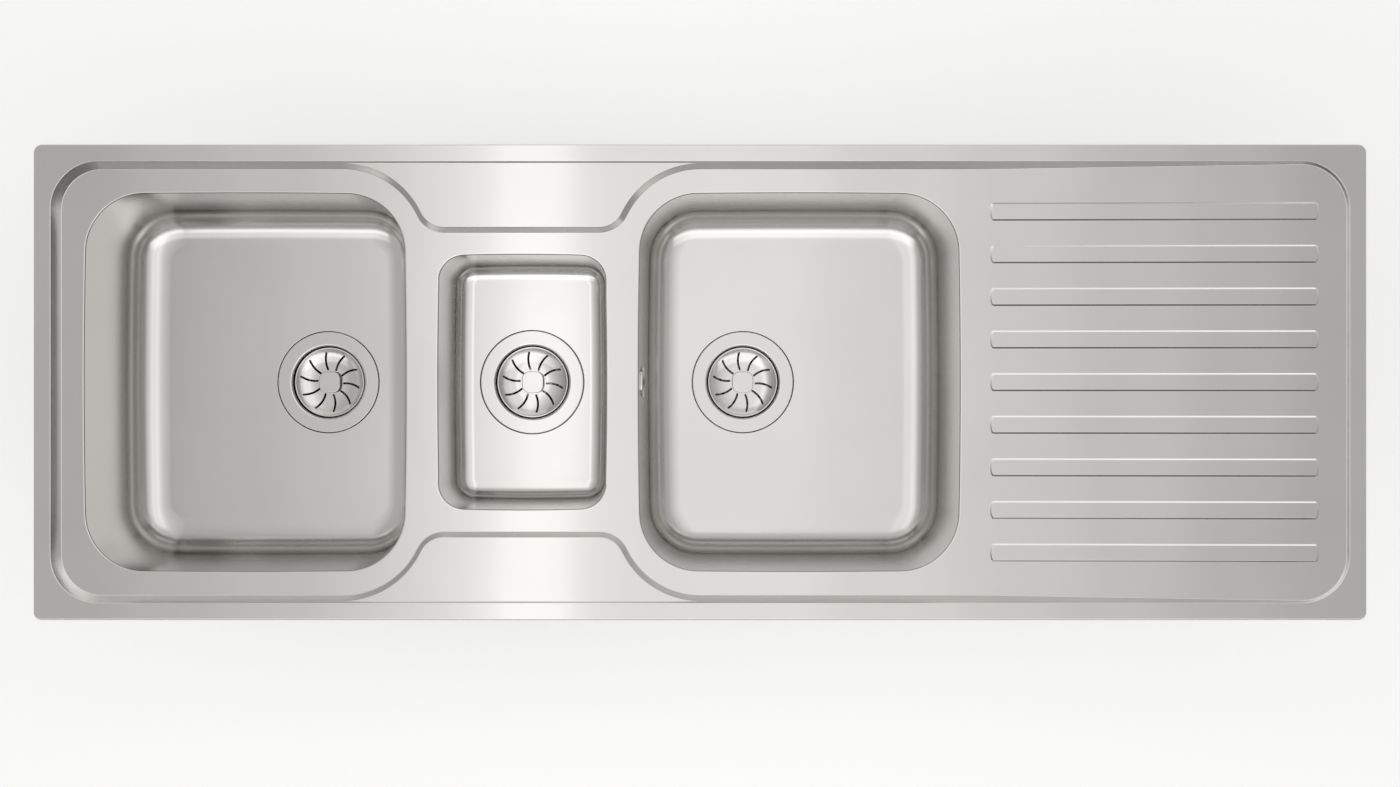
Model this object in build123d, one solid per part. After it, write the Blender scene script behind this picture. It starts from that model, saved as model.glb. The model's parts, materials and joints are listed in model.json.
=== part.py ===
from build123d import *
from math import atan, cos, degrees, radians, sin, sqrt, tan
import os

# Inset kitchen sink: two main bowls, a half bowl and a ribbed drainer, in millimetres.
# Z = 0 is the worktop's top face, +X runs to the drainer, +Y to the back of the sink.

# Sheet and rim
sink_length = 1400.0
sink_width = 500.0
sheet = 0.8
rim_height = 5.0
rim_flat = 18.0
rim_corner = 9.0
rim_edge_round = 2.0
skirt_clearance = 0.3

# Pressed steps
pocket_corner = 50.0
step_angle = 29.7
step_round = 1.2
ledge_drop = 3.0
deck_drop = 12.5

# Tap ledges beside the half bowl
ledge_bowl_gap = 30.0
ledge_corner = 25.0
ledge_sweep_radius = 93.5
ledge_sweep_gap = 65.5

# Bowls
half_bowl_length = 178.0
half_bowl_width = 270.0
half_bowl_corner = 27.0
half_bowl_depth = 107.5
half_bowl_cove = 19.0
half_bowl_draft = 3.5
half_bowl_bow = 1.8
main_bowl_length = 340.0
main_bowl_end_gap = 49.0
main_bowl_side_gap = 50.0
main_bowl_corner = 62.0
main_bowl_depth = 147.5
main_bowl_cove = 38.0
main_bowl_draft = 3.8
main_bowl_long_bow = 2.8
main_bowl_short_bow = 1.3
bowl_gap = 34.0
mouth_round = 2.0
collar_depth = 6.0

# Drainer
slope_bowl_gap = 15.0
slope_rise = 9.0
slope_blend = 14.0
rib_count = 9
rib_start_gap = 16.0
rib_end_gap = 31.0
rib_side_gap = 52.0
rib_width = 19.5
rib_height = 1.7
rib_side_angle = 45.0
rib_end_bulge = 3.0
rib_corner = 2.2

# Waste and basket strainer, measured down from the bowl floor
waste_offset = 56.0
waste_hole_r = 45.0
recess_r = 58.3
recess_depth = 3.0
flange_r = 57.6
flange_proud = 0.3
flange_lip = 2.0
flange_round = 2.6
cup_r = 41.0
cup_shoulder_r = 25.5
cup_shoulder_depth = 26.0
cup_depth = 40.0
cup_bend = 2.0
cup_hole_r = 4.4
cup_hole_count = 6
cup_hole_ring_r = 15.0
gasket_inner_r = 46.5
gasket_outer_r = 56.0
body_seal_thickness = 3.0
body_flange_r = 52.0
body_r = 46.7
body_wall = 3.0
body_depth = 56.0
body_cone = 12.0
body_bend = 4.0
boss_r = 7.0
boss_length = 22.0
web_thickness = 3.0
web_height = 10.0
web_drop = 4.0
web_count = 3
tail_r = 23.9
tail_length = 25.0
port_r = 9.5
port_wall = 2.0
port_reach = 68.0
port_drop = 32.0
screw_head_r = 6.5
screw_head_height = 7.0
screw_shank_r = 3.0
screw_length = 24.0
screw_gap = 0.05
socket_depth = 5.0

# Basket
basket_r = 38.2
basket_bead_r = 1.1
basket_drop = 6.2
basket_knee_r = 27.5
basket_knee_depth = 17.0
basket_dish_r = 14.0
basket_dish_depth = 20.5
basket_bend = 3.0
slot_count = 10
slot_inner_r = 15.2
slot_outer_r = 33.5
slot_inner_angle = 30.3
slot_outer_angle = 25.2
slot_width = 2.4
slot_sagitta = 1.7
knob_size = 24.0
knob_corner = 8.5
knob_top_depth = 9.0
knob_edge_round = 1.0
peg_r = 2.9
peg_gap = 0.08
peg_end_gap = 0.3
seal_inner_r = 31.3
seal_outer_r = 35.5
seal_gap = 0.3

# Overflow, measured down from the deck
overflow_depth = 36.0
overflow_hole_r = 13.0
rosette_r = 16.5
rosette_opening_r = 6.2
rosette_proud = 2.2
rosette_edge_round = 1.5
neck_r = 11.5
neck_wall = 2.0
neck_length = 9.0
neck_gap = 0.1
overflow_seal_thickness = 1.5
overflow_box_r = 16.0
overflow_box_depth = 22.0
overflow_box_wall = 2.5
spigot_setback = 14.0
spigot_length = 24.0
hose_wall = 1.6
hose_gap = 0.1
hose_overlap = 14.0
hose_bend = 45.0

# Rim seal and sound pads
seal_edge_inset = 3.0
seal_width = 6.5
seal_corner = 2.0
pad_thickness = 2.5
pad_margin = 8.0
pad_corner = 15.0
pad_waste_gap = 4.0

# Worktop clips
clip_inset = 37.0
clip_bowl_gaps = [140.0, 890.0]
clip_drainer_gap = 180.0
clip_plate_level = -30.0
clip_sheet = 2.0
clip_foot_trim = 0.5
clip_width = 15.0
clip_hat_length = 22.0
clip_foot_length = 9.0
clip_bend = 2.5
clip_nut_r = 5.0
clip_nut_height = 6.0
clip_screw_r = 2.5
clip_thread_gap = 0.05
clip_travel = 14.0
clip_tip_gap = 2.0
clip_screw_length = 38.0
clip_head_r = 5.0
clip_head_height = 4.0
clip_slot_width = 1.2
clip_slot_depth = 1.5
clip_collar_r = 4.2
clip_collar_height = 1.2
claw_hub_r = 8.0
claw_width = 12.0
claw_sheet = 2.0
claw_reach = 38.0
claw_tip_height = 14.0
claw_play = 0.1
claw_teeth = 3
claw_tooth_height = 2.5

# Worked out from the sizes above
rim_top = rim_height
ledge_top = rim_top - ledge_drop
deck_top = rim_top - deck_drop
deck_under = deck_top - sheet
pocket_length = sink_length - 2 * rim_flat
pocket_width = sink_width - 2 * rim_flat
step_thickness = sheet / cos(radians(step_angle))
main_bowl_width = sink_width - 2 * main_bowl_side_gap
ledge_inset = (pocket_width - half_bowl_width) / 2 - ledge_bowl_gap
bowl_spacing = half_bowl_length / 2 + bowl_gap + main_bowl_length / 2
left_bowl_x = main_bowl_end_gap + main_bowl_length / 2 - sink_length / 2
half_bowl_x = left_bowl_x + bowl_spacing
right_bowl_x = half_bowl_x + bowl_spacing
ledge_sweep_offset = half_bowl_length / 2 + bowl_gap + ledge_sweep_gap
slope_start = right_bowl_x + main_bowl_length / 2 + slope_bowl_gap
slope_run = pocket_length / 2 - slope_start
slope_angle = degrees(atan(slope_rise / slope_run))
rib_start = slope_start + rib_start_gap
rib_length = pocket_length / 2 - rib_end_gap - rib_start
rib_pitch = (pocket_width - 2 * rib_side_gap) / (rib_count - 1)
clip_along = [gap - sink_length / 2 for gap in clip_bowl_gaps]
clip_along += [sink_length / 2 - clip_drainer_gap]
left_waste_x = left_bowl_x + waste_offset
right_waste_x = right_bowl_x - waste_offset
main_floor = deck_top - main_bowl_depth
half_floor = deck_top - half_bowl_depth
recess_under = -recess_depth - sheet
cup_under = -cup_depth - sheet
basket_level = -basket_drop
hose_r = port_r + hose_gap + hose_wall
clip_tip_rest = deck_under - clip_travel - clip_tip_gap
clip_head_top = clip_tip_rest - clip_screw_length


def write(name, shape):
    """Save one piece, checking that it is one or more sound solids."""
    solids = shape.solids()
    export_step(Compound(solids) if len(solids) > 1 else solids[0], f"parts/{name}.step")
    print(f"{name:24s} {len(solids)} solid(s) {sum(s.volume for s in solids):12.1f} mm3")


def sunk(outline, top, depth, taper=0.0):
    """Extrude an outline downwards from a height, narrowing by the taper in degrees.

    The outline is symmetric about X, so turning it over leaves it in place."""
    prism = extrude(outline, depth, taper=taper)
    return Pos(0, 0, top) * Rot(180, 0, 0) * prism


def ring(outer_r, inner_r, top, thickness):
    """A flat ring on the Z axis, hanging down from a height."""
    return Pos(0, 0, top) * extrude(Circle(outer_r) - Circle(inner_r), -thickness)


def rod(radius, top, length):
    """A round bar on the Z axis, hanging down from a height."""
    return Pos(0, 0, top) * extrude(Circle(radius), -length)


# ---------------------------------------------------------------- outlines


def pocket_outline():
    """The big rounded rectangle inside the flat rim."""
    return RectangleRounded(pocket_length, pocket_width, pocket_corner)


def deck_outline():
    """The pocket with a curved bay cut in from front and back by the two tap ledges.

    Each bay is swept by a large arc round the main bowl's corner that turns back
    through a small arc into the straight edge beside the half bowl."""
    half_x = pocket_length / 2
    half_y = pocket_width / 2
    sweep_y = half_y - ledge_sweep_radius
    corner_y = half_y - ledge_inset + ledge_corner
    reach = ledge_sweep_radius + ledge_corner
    corner_x = ledge_sweep_offset - sqrt(reach**2 - (corner_y - sweep_y) ** 2)
    share = ledge_sweep_radius / reach
    turn_x = ledge_sweep_offset - (ledge_sweep_offset - corner_x) * share
    turn_y = sweep_y + (corner_y - sweep_y) * share
    x = half_bowl_x
    right_sweep = TangentArc((x + ledge_sweep_offset, half_y), (x + turn_x, turn_y), tangent=(-1, 0))
    right_corner = TangentArc(
        right_sweep @ 1, (x + corner_x, half_y - ledge_inset), tangent=right_sweep % 1
    )
    left_sweep = right_sweep.mirror(Plane.YZ.offset(x))
    left_corner = right_corner.mirror(Plane.YZ.offset(x))
    round_end = half_x - pocket_corner
    right_round = TangentArc((half_x, half_y - pocket_corner), (round_end, half_y), tangent=(0, 1))
    left_round = right_round.mirror(Plane.YZ)
    back = [
        Line((half_x, 0), right_round @ 0),
        right_round,
        Line(right_round @ 1, right_sweep @ 0),
        right_sweep,
        right_corner,
        Line(right_corner @ 1, left_corner @ 1),
        left_corner,
        left_sweep,
        Line(left_sweep @ 0, left_round @ 1),
        left_round,
        Line(left_round @ 0, (-half_x, 0)),
    ]
    front = [edge.mirror(Plane.XZ) for edge in back]
    return make_face(back + front)


def bowl_outline(length, width, corner, long_bow, short_bow, grow):
    """A rounded rectangle whose four sides swell slightly, grown all round by an amount."""
    half_x = length / 2 + grow
    half_y = width / 2 + grow
    corner_x = half_x - long_bow
    corner_y = half_y - short_bow
    right = ThreePointArc((corner_x, -corner_y), (half_x, 0), (corner_x, corner_y))
    back = ThreePointArc((corner_x, corner_y), (0, half_y), (-corner_x, corner_y))
    sides = [right, back, right.mirror(Plane.YZ), back.mirror(Plane.XZ)]
    face = make_face(sides)
    return fillet(face.vertices(), corner + grow)


def main_outline(grow=0.0):
    """The mouth of a main bowl."""
    size = (main_bowl_length, main_bowl_width, main_bowl_corner)
    return bowl_outline(*size, main_bowl_long_bow, main_bowl_short_bow, grow)


def half_outline(grow=0.0):
    """The mouth of the half bowl."""
    size = (half_bowl_length, half_bowl_width, half_bowl_corner)
    return bowl_outline(*size, half_bowl_bow, half_bowl_bow, grow)


# ---------------------------------------------------------------- deck


def floor_body(level):
    """Everything below the deck and the sloping drainer, raised by a level."""
    left = -sink_length / 2
    low = deck_top - main_bowl_depth
    start = (slope_start - slope_blend, deck_top + level)
    blend_x = slope_start + slope_blend * cos(radians(slope_angle))
    blend_z = deck_top + level + slope_blend * sin(radians(slope_angle))
    end_x = sink_length / 2
    end_z = deck_top + level + (end_x - slope_start) * tan(radians(slope_angle))
    blend = TangentArc(start, (blend_x, blend_z), tangent=(1, 0))
    face = make_face(
        [
            Line((left, deck_top + level), start),
            blend,
            Line(blend @ 1, (end_x, end_z)),
            Line((end_x, end_z), (end_x, low)),
            Line((end_x, low), (left, low)),
            Line((left, low), (left, deck_top + level)),
        ]
    )
    return extrude(Plane.XZ * face, sink_width / 2, both=True)


def rib_outline():
    """One drainer rib: a long bar with gently rounded ends."""
    half_x = rib_length / 2
    half_y = rib_width / 2
    side_x = half_x - rib_end_bulge
    end = ThreePointArc((side_x, -half_y), (half_x, 0), (side_x, half_y))
    side = Line((side_x, half_y), (-side_x, half_y))
    face = make_face([end, side, end.mirror(Plane.YZ), side.mirror(Plane.XZ)])
    return fillet(face.vertices(), rib_corner)


def ribs(inset, level):
    """The raised ribs as solid bars standing on the slope, at a level below its face."""
    middle = rib_start + rib_length / 2
    height = deck_top + (middle - slope_start) * tan(radians(slope_angle))
    lean = radians(slope_angle)
    slope = Plane(
        origin=(middle, 0, height), x_dir=(cos(lean), 0, sin(lean)), z_dir=(-sin(lean), 0, cos(lean))
    )
    outline = offset(rib_outline(), -inset) if inset else rib_outline()
    raised = extrude(outline, rib_height, taper=rib_side_angle)
    rooted = raised + extrude(outline, -rib_height)
    bars = []
    for index in range(rib_count):
        y = (index - (rib_count - 1) / 2) * rib_pitch
        bars.append(slope * Pos(0, y, -level) * rooted)
    return bars


def bowl_places():
    """Outline maker, centre, depth, draft and cove of the three bowls."""
    main = (main_bowl_depth, main_bowl_draft, main_bowl_cove)
    half = (half_bowl_depth, half_bowl_draft, half_bowl_cove)
    return [
        (main_outline, left_bowl_x, *main),
        (half_outline, half_bowl_x, *half),
        (main_outline, right_bowl_x, *main),
    ]


def bowl_forms(outline, depth, draft):
    """The outer and inner tapered forms of a bowl, down to a depth below the deck."""
    outer = sunk(outline(sheet / cos(radians(draft))), deck_top, depth + sheet, draft)
    inner = sunk(outline(), deck_top, depth, draft)
    return outer, inner


def level_edges(shape, height):
    """The edges of a shape that lie flat at a height."""
    found = []
    for edge in shape.edges():
        box = edge.bounding_box()
        if abs(box.min.Z - height) < 0.01 and abs(box.max.Z - height) < 0.01:
            found.append(edge)
    return found


def beside_bowl(edge):
    """Whether an edge belongs to the mouth of a bowl."""
    middle = edge.center()
    for outline, x, *_ in bowl_places():
        size = outline().bounding_box().size
        if abs(middle.X - x) < size.X / 2 + 1 and abs(middle.Y) < size.Y / 2 + 1:
            return True
    return False


def rim_shell():
    """The flat rim plate with its edge turned down all round."""
    outline = RectangleRounded(sink_length, sink_width, rim_corner)
    block = Pos(0, 0, rim_top) * extrude(outline, skirt_clearance - rim_top)
    block = fillet(block.edges().group_by(Axis.Z)[-1], rim_edge_round)
    hollow = RectangleRounded(sink_length - 2 * sheet, sink_width - 2 * sheet, rim_corner - sheet)
    hollow = Pos(0, 0, rim_top - sheet) * extrude(hollow, -rim_top)
    hollow = fillet(hollow.edges().group_by(Axis.Z)[-1], rim_edge_round - sheet)
    return block - hollow


def sink_top():
    """The pressed top: rim with turned-down edge, stepped pocket, ribs and bowl mouths."""
    reach = rim_top - deck_top + sheet
    rib_angle = radians(rib_side_angle)
    rib_inset = sheet / cos(rib_angle) - sheet * tan(rib_angle)
    ledge = pocket_outline()
    deck = deck_outline()
    ledge_form = sunk(offset(ledge, step_thickness), rim_top, ledge_drop + sheet, step_angle)
    deck_form = sunk(offset(deck, step_thickness), rim_top, reach, step_angle)
    deck_form = deck_form - floor_body(-sheet) - ribs(rib_inset, sheet)
    ledge_hollow = sunk(ledge, rim_top, ledge_drop, step_angle)
    deck_hollow = sunk(deck, rim_top, reach, step_angle) - floor_body(0) - ribs(0, 0)
    top = rim_shell() + ledge_form + deck_form - ledge_hollow - deck_hollow
    for outline, x, _, draft, _ in bowl_places():
        place = Pos(x, 0, 0)
        collar = bowl_forms(outline, collar_depth - sheet, draft)[0]
        opening = bowl_forms(outline, collar_depth, draft)[1]
        above = sunk(outline(), deck_top + mouth_round, mouth_round)
        top = top + place * collar - place * (opening + above)
    top = fillet([e for e in level_edges(top, rim_top) if inside_rim(e)], step_round)
    feet = [e for e in level_edges(top, deck_top) if not beside_bowl(e)]
    top = fillet(feet, step_round)
    return fillet([e for e in level_edges(top, deck_top) if beside_bowl(e)], mouth_round)


def inside_rim(edge):
    """Whether an edge lies on the pocket's outline rather than on the sink's own."""
    middle = edge.center()
    margin = rim_flat / 2
    return abs(middle.X) < sink_length / 2 - margin and abs(middle.Y) < sink_width / 2 - margin


# ---------------------------------------------------------------- bowls


def bowl(outline, depth, draft, cove, waste_x):
    """One pressed bowl below the collar, with its waste recess, centred on X = 0."""
    outer, inner = bowl_forms(outline, depth, draft)
    outer = fillet(outer.edges().group_by(Axis.Z)[0], cove + sheet)
    inner = fillet(inner.edges().group_by(Axis.Z)[0], cove)
    floor = deck_top - depth
    outer = outer + Pos(waste_x, 0, 0) * rod(recess_r + sheet, floor, recess_depth + sheet)
    inner = inner + Pos(waste_x, 0, 0) * rod(recess_r, floor + sheet, recess_depth + sheet)
    shell = outer - inner - Pos(waste_x, 0, 0) * rod(waste_hole_r, floor, recess_depth + 2 * sheet)
    above = Pos(0, 0, deck_top - collar_depth) * extrude(outline(2 * sheet), collar_depth)
    return shell - above


def main_bowl():
    """The right bowl; the left one is its mirror image about the half bowl."""
    body = bowl(main_outline, main_bowl_depth, main_bowl_draft, main_bowl_cove, -waste_offset)
    body = Pos(right_bowl_x, 0, 0) * body
    return body - overflow_frame() * rod(overflow_hole_r, mouth_round, mouth_round + 2 * sheet)


def half_bowl():
    body = bowl(half_outline, half_bowl_depth, half_bowl_draft, half_bowl_cove, 0.0)
    return Pos(half_bowl_x, 0, 0) * body


def sound_pad(outline, floor, depth, draft, cove, waste_x):
    """Damping sheet glued under the flat of a bowl floor, cut out round the waste."""
    size = outline().bounding_box().size
    lost = 2 * (depth * tan(radians(draft)) + cove + pad_margin)
    sheet_form = RectangleRounded(size.X - lost, size.Y - lost, pad_corner)
    pad = Pos(0, 0, floor - sheet) * extrude(sheet_form, -pad_thickness)
    hole_r = recess_r + sheet + pad_waste_gap
    return pad - Pos(waste_x, 0, 0) * rod(hole_r, floor, pad_thickness + 2 * sheet)


def rim_seal():
    """Foam strip between the rim and the worktop."""
    length = sink_length - 2 * seal_edge_inset
    width = sink_width - 2 * seal_edge_inset
    outside = RectangleRounded(length, width, rim_corner - seal_edge_inset)
    inside = RectangleRounded(length - 2 * seal_width, width - 2 * seal_width, seal_corner)
    return extrude(outside - inside, rim_top - sheet)


# ---------------------------------------------------------------- strainer


def turned(points, radii, thickness):
    """A thin wall turned about Z, along a rounded line of (radius, height) points."""
    line = FilletPolyline(*points, radius=radii)
    return revolve(Plane.XZ * trace(line, thickness), Axis.Z)


def strainer_cup():
    """Flange and cup in one pressing, with a shoulder for the seal and a pierced base."""
    half = sheet / 2
    top = flange_proud - half
    wall_r = cup_r + half
    well_r = cup_shoulder_r + half
    points = [
        (flange_r - half, flange_proud - flange_lip),
        (flange_r - half, top),
        (wall_r, top),
        (wall_r, -cup_shoulder_depth - half),
        (well_r, -cup_shoulder_depth - half),
        (well_r, -cup_depth - half),
        (screw_shank_r + screw_gap, -cup_depth - half),
    ]
    cup = turned(points, [sheet, flange_round, cup_bend, cup_bend, cup_bend], sheet)
    holes = PolarLocations(cup_hole_ring_r, cup_hole_count)
    drill = extrude(Circle(cup_hole_r), -3 * sheet)
    return cup - [Pos(0, 0, -cup_depth + sheet) * place * drill for place in holes]


def cup_gasket():
    """Rubber ring between the flange and the recess in the bowl floor."""
    top = flange_proud - sheet
    return ring(gasket_outer_r, gasket_inner_r, top, top + recess_depth)


def body_seal():
    """Rubber ring between the bowl floor and the waste body."""
    return ring(body_flange_r, waste_hole_r + screw_gap, recess_under, body_seal_thickness)


def waste_body(has_port):
    """Plastic waste body: flange, wall, cone and threaded tail, with a screw boss on webs."""
    half = body_wall / 2
    top = recess_under - body_seal_thickness - half
    wall_r = body_r - half
    points = [
        (body_flange_r, top),
        (wall_r, top),
        (wall_r, -body_depth),
        (tail_r - half, -body_depth - body_cone),
        (tail_r - half, -body_depth - body_cone - tail_length),
    ]
    body = turned(points, body_bend, body_wall)
    boss = rod(boss_r, cup_under, boss_length)
    web_foot = Pos(wall_r / 2, 0) * Rectangle(wall_r, web_thickness)
    web = Pos(0, 0, cup_under - web_drop) * extrude(web_foot, -web_height)
    body = body + boss + [Rot(0, 0, 360 / web_count * (i + 0.5)) * web for i in range(web_count)]
    body = body - rod(screw_shank_r + screw_gap, cup_under, boss_length)
    if has_port:
        along = Pos(0, 0, -port_drop) * Rot(0, -90, 0)
        tube = extrude(Pos(0, 0, wall_r) * Circle(port_r), port_reach - wall_r)
        bore = extrude(Pos(0, 0, wall_r - body_wall) * Circle(port_r - port_wall), port_reach)
        body = body + along * tube - along * bore
    return body


def fixing_screw():
    """Screw that holds cup and body together; its hollow head takes the basket's peg."""
    head = rod(screw_head_r, -cup_depth + screw_head_height, screw_head_height)
    head = fillet(head.edges().group_by(Axis.Z)[-1], sheet)
    shank = rod(screw_shank_r, -cup_depth, screw_length)
    socket = rod(peg_r + peg_gap, -cup_depth + screw_head_height, socket_depth)
    return head + shank - socket


def basket_points():
    """Middle line of the dish from the bead to the peg."""
    return [
        (basket_r - basket_bead_r, basket_level),
        (basket_knee_r, -basket_knee_depth),
        (basket_dish_r, -basket_dish_depth),
        (peg_r + sheet / 2, -basket_dish_depth),
    ]


def basket():
    """Thin dish with a rolled bead and ten swept slots."""
    dish = turned(basket_points(), basket_bend, sheet)
    bead = Pos(0, 0, basket_level) * Torus(basket_r - basket_bead_r, basket_bead_r)
    return dish + bead - basket_slots()


def basket_slots():
    """Cutters for the curved slots, each bowed towards its leading side."""
    cutters = []
    for index in range(slot_count):
        turn = 360 / slot_count * index
        start = Vector(slot_inner_r, 0).rotate(Axis.Z, slot_inner_angle + turn)
        end = Vector(slot_outer_r, 0).rotate(Axis.Z, slot_outer_angle + turn)
        side = (end - start).rotate(Axis.Z, 90).normalized()
        middle = (start + end) * 0.5 + side * slot_sagitta
        slot = SlotArc(ThreePointArc(start, middle, end), slot_width)
        cutter = extrude(slot, basket_dish_depth)
        cutters.append(Pos(0, 0, -basket_dish_depth - basket_bend) * cutter)
    return cutters


def basket_knob():
    """Square knob with round corners on a peg that drops into the fixing screw."""
    foot = -basket_dish_depth + sheet / 2
    block = Pos(0, 0, foot) * extrude(
        RectangleRounded(knob_size, knob_size, knob_corner), -knob_top_depth - foot
    )
    block = fillet(block.edges().group_by(Axis.Z)[-1], knob_edge_round)
    end = -cup_depth + screw_head_height - socket_depth + peg_end_gap
    return block + rod(peg_r, foot, foot - end)


def basket_seal():
    """Rubber ring under the dish that closes on the cup's shoulder."""
    outer_point, knee_point = basket_points()[:2]
    fall = (outer_point[1] - knee_point[1]) / (outer_point[0] - knee_point[0])
    under = sheet / 2 * sqrt(1 + fall**2) + screw_gap

    def top_at(radius):
        return knee_point[1] + (radius - knee_point[0]) * fall - under

    bottom = -cup_shoulder_depth + seal_gap
    profile = Polyline(
        (seal_inner_r, bottom),
        (seal_outer_r, bottom),
        (seal_outer_r, top_at(seal_outer_r)),
        (seal_inner_r, top_at(seal_inner_r)),
        close=True,
    )
    return revolve(Plane.XZ * make_face(profile), Axis.Z)


# ---------------------------------------------------------------- overflow


def overflow_frame():
    """Frame on the right bowl's left wall: Z points into the bowl, square to the wall."""
    drop = overflow_depth * tan(radians(main_bowl_draft))
    x = right_bowl_x - main_bowl_length / 2 + drop
    lean = radians(main_bowl_draft)
    origin = (x, 0, deck_top - overflow_depth)
    return Plane(origin=origin, x_dir=(0, 1, 0), z_dir=(cos(lean), 0, sin(lean)))


def overflow_rosette():
    """Domed ring with a neck that screws into the box behind the wall."""
    face = rosette_proud - sheet
    flange = rod(rosette_r, rosette_proud, rosette_proud - neck_gap)
    flange = fillet(flange.edges().group_by(Axis.Z)[-1], rosette_edge_round)
    rosette = flange + rod(neck_r, face, neck_length) - rod(neck_r - neck_wall, face, neck_length)
    return overflow_frame() * (rosette - rod(rosette_opening_r, rosette_proud, rosette_proud))


def overflow_seal():
    """Rubber ring between the wall and the box."""
    return overflow_frame() * ring(
        overflow_box_r, overflow_hole_r, -sheet - neck_gap, overflow_seal_thickness - neck_gap
    )


def overflow_box():
    """Plastic box behind the wall, with a spigot that points straight down."""
    frame = overflow_frame()
    front = -sheet - overflow_seal_thickness
    shell = rod(overflow_box_r, front, overflow_box_depth)
    shell = fillet(shell.edges().group_by(Axis.Z)[0], overflow_box_wall / 2)
    cavity_depth = overflow_box_depth - 2 * overflow_box_wall
    cavity = rod(overflow_box_r - overflow_box_wall, front - overflow_box_wall, cavity_depth)
    mouth = rod(neck_r + neck_gap, front, overflow_box_depth / 2)
    x, z = hose_start()
    drop = overflow_box_r + spigot_length
    spigot = Pos(x, 0, z + drop) * rod(port_r, 0, drop)
    bore = Pos(x, 0, z + drop) * rod(port_r - port_wall, 0, drop)
    return frame * shell + spigot - frame * cavity - frame * mouth - bore


def hose_start():
    """Where the box's spigot ends: its X and Z."""
    origin = overflow_frame().origin
    return origin.X - spigot_setback, origin.Z - overflow_box_r - spigot_length


def overflow_hose():
    """Hose from the box's spigot, down between the bowls, to the waste body's port."""
    x, z = hose_start()
    port_end = right_waste_x - port_reach
    port_z = main_floor - port_drop
    points = [(x, 0, z + hose_overlap), (x, 0, port_z), (port_end + hose_overlap, 0, port_z)]
    path = FilletPolyline(*points, radius=hose_bend)
    section = Circle(hose_r) - Circle(port_r + hose_gap)
    return sweep(Plane(origin=path @ 0, z_dir=path % 0) * section, path)


# ---------------------------------------------------------------- worktop clips


def clip_places():
    """Frames of the clips: Z up, X along the rim where the claw parks, Y outwards."""
    side_y = sink_width / 2 - clip_inset
    end_x = sink_length / 2 - clip_inset
    places = [Pos(x, side_y, 0) for x in clip_along]
    places += [Pos(x, -side_y, 0) * Rot(0, 0, 180) for x in clip_along]
    places += [Pos(-end_x, 0, 0) * Rot(0, 0, 90), Pos(end_x, 0, 0) * Rot(0, 0, -90)]
    return places


def clip_bracket(place):
    """Hat-shaped bracket with a pressed nut, its feet lying against the deck's underside."""
    half = clip_hat_length / 2
    rise = max(place.position.X - slope_start, 0) * tan(radians(slope_angle))
    top = deck_under + rise - clip_sheet / 2 + clip_foot_trim
    foot = half + clip_foot_length
    points = [
        (-foot, top),
        (-half, top),
        (-half, clip_plate_level),
        (half, clip_plate_level),
        (half, top),
        (foot, top),
    ]
    band = trace(FilletPolyline(*points, radius=clip_bend), clip_sheet)
    hat = extrude(Plane.XZ * band, clip_width / 2, both=True)
    nut_top = clip_plate_level + clip_sheet / 2 + clip_nut_height
    hat = hat + rod(clip_nut_r, nut_top, clip_nut_height + clip_sheet / 2)
    hat = hat - rod(clip_screw_r + clip_thread_gap, nut_top, clip_nut_height + 2 * clip_sheet)
    return place * hat & floor_body(-sheet)


def clip_brackets():
    return Compound([clip_bracket(place).solids()[0] for place in clip_places()])


def clip_screw():
    """Slotted screw with a collar that traps the claw above its head."""
    shank = rod(clip_screw_r, clip_tip_rest, clip_screw_length)
    head = rod(clip_head_r, clip_head_top, clip_head_height)
    slot = Box(3 * clip_head_r, clip_slot_width, 2 * clip_slot_depth)
    slot = Pos(0, 0, clip_head_top - clip_head_height) * slot
    collar_foot = clip_head_top + claw_sheet + 2 * claw_play
    collar = rod(clip_collar_r, collar_foot + clip_collar_height, clip_collar_height)
    return shank + head + collar - slot


def clip_claw():
    """Pressed arm that turns on the screw, its toothed tip bent up to grip the worktop."""
    foot = clip_head_top + claw_play
    arm = Pos(claw_reach / 2, 0, foot) * extrude(Rectangle(claw_reach, claw_width), claw_sheet)
    hub = rod(claw_hub_r, foot + claw_sheet, claw_sheet)
    teeth = []
    pitch = claw_width / claw_teeth
    for index in range(claw_teeth):
        y = (index - claw_teeth / 2) * pitch
        teeth += [Line((y, claw_tip_height), (y + pitch / 2, claw_tip_height + claw_tooth_height))]
        teeth += [Line(teeth[-1] @ 1, (y + pitch, claw_tip_height))]
    half = claw_width / 2
    sides = Polyline((half, claw_tip_height), (half, 0), (-half, 0), (-half, claw_tip_height))
    tip = Plane.YZ * make_face(teeth + sides.edges())
    tip = Pos(claw_reach - claw_sheet, 0, foot) * extrude(tip, claw_sheet)
    return arm + hub + tip - rod(clip_screw_r + clip_thread_gap, foot + claw_sheet, claw_sheet)


# ---------------------------------------------------------------- assembly


def mirrored(shape):
    """The left bowl's copy of a right-bowl piece."""
    return shape.mirror(Plane.YZ.offset(half_bowl_x))


def write_strainer(side, x, floor, body):
    """All pieces of one waste and basket strainer."""
    place = Pos(x, 0, floor)
    write(f"{side}_strainer_cup", place * strainer_cup())
    write(f"{side}_cup_gasket", place * cup_gasket())
    write(f"{side}_body_seal", place * body_seal())
    write(f"{side}_fixing_screw", place * fixing_screw())
    write(f"{side}_basket", place * basket())
    write(f"{side}_basket_knob", place * basket_knob())
    write(f"{side}_basket_seal", place * basket_seal())
    write(f"{side}_waste_body", body)


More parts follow.
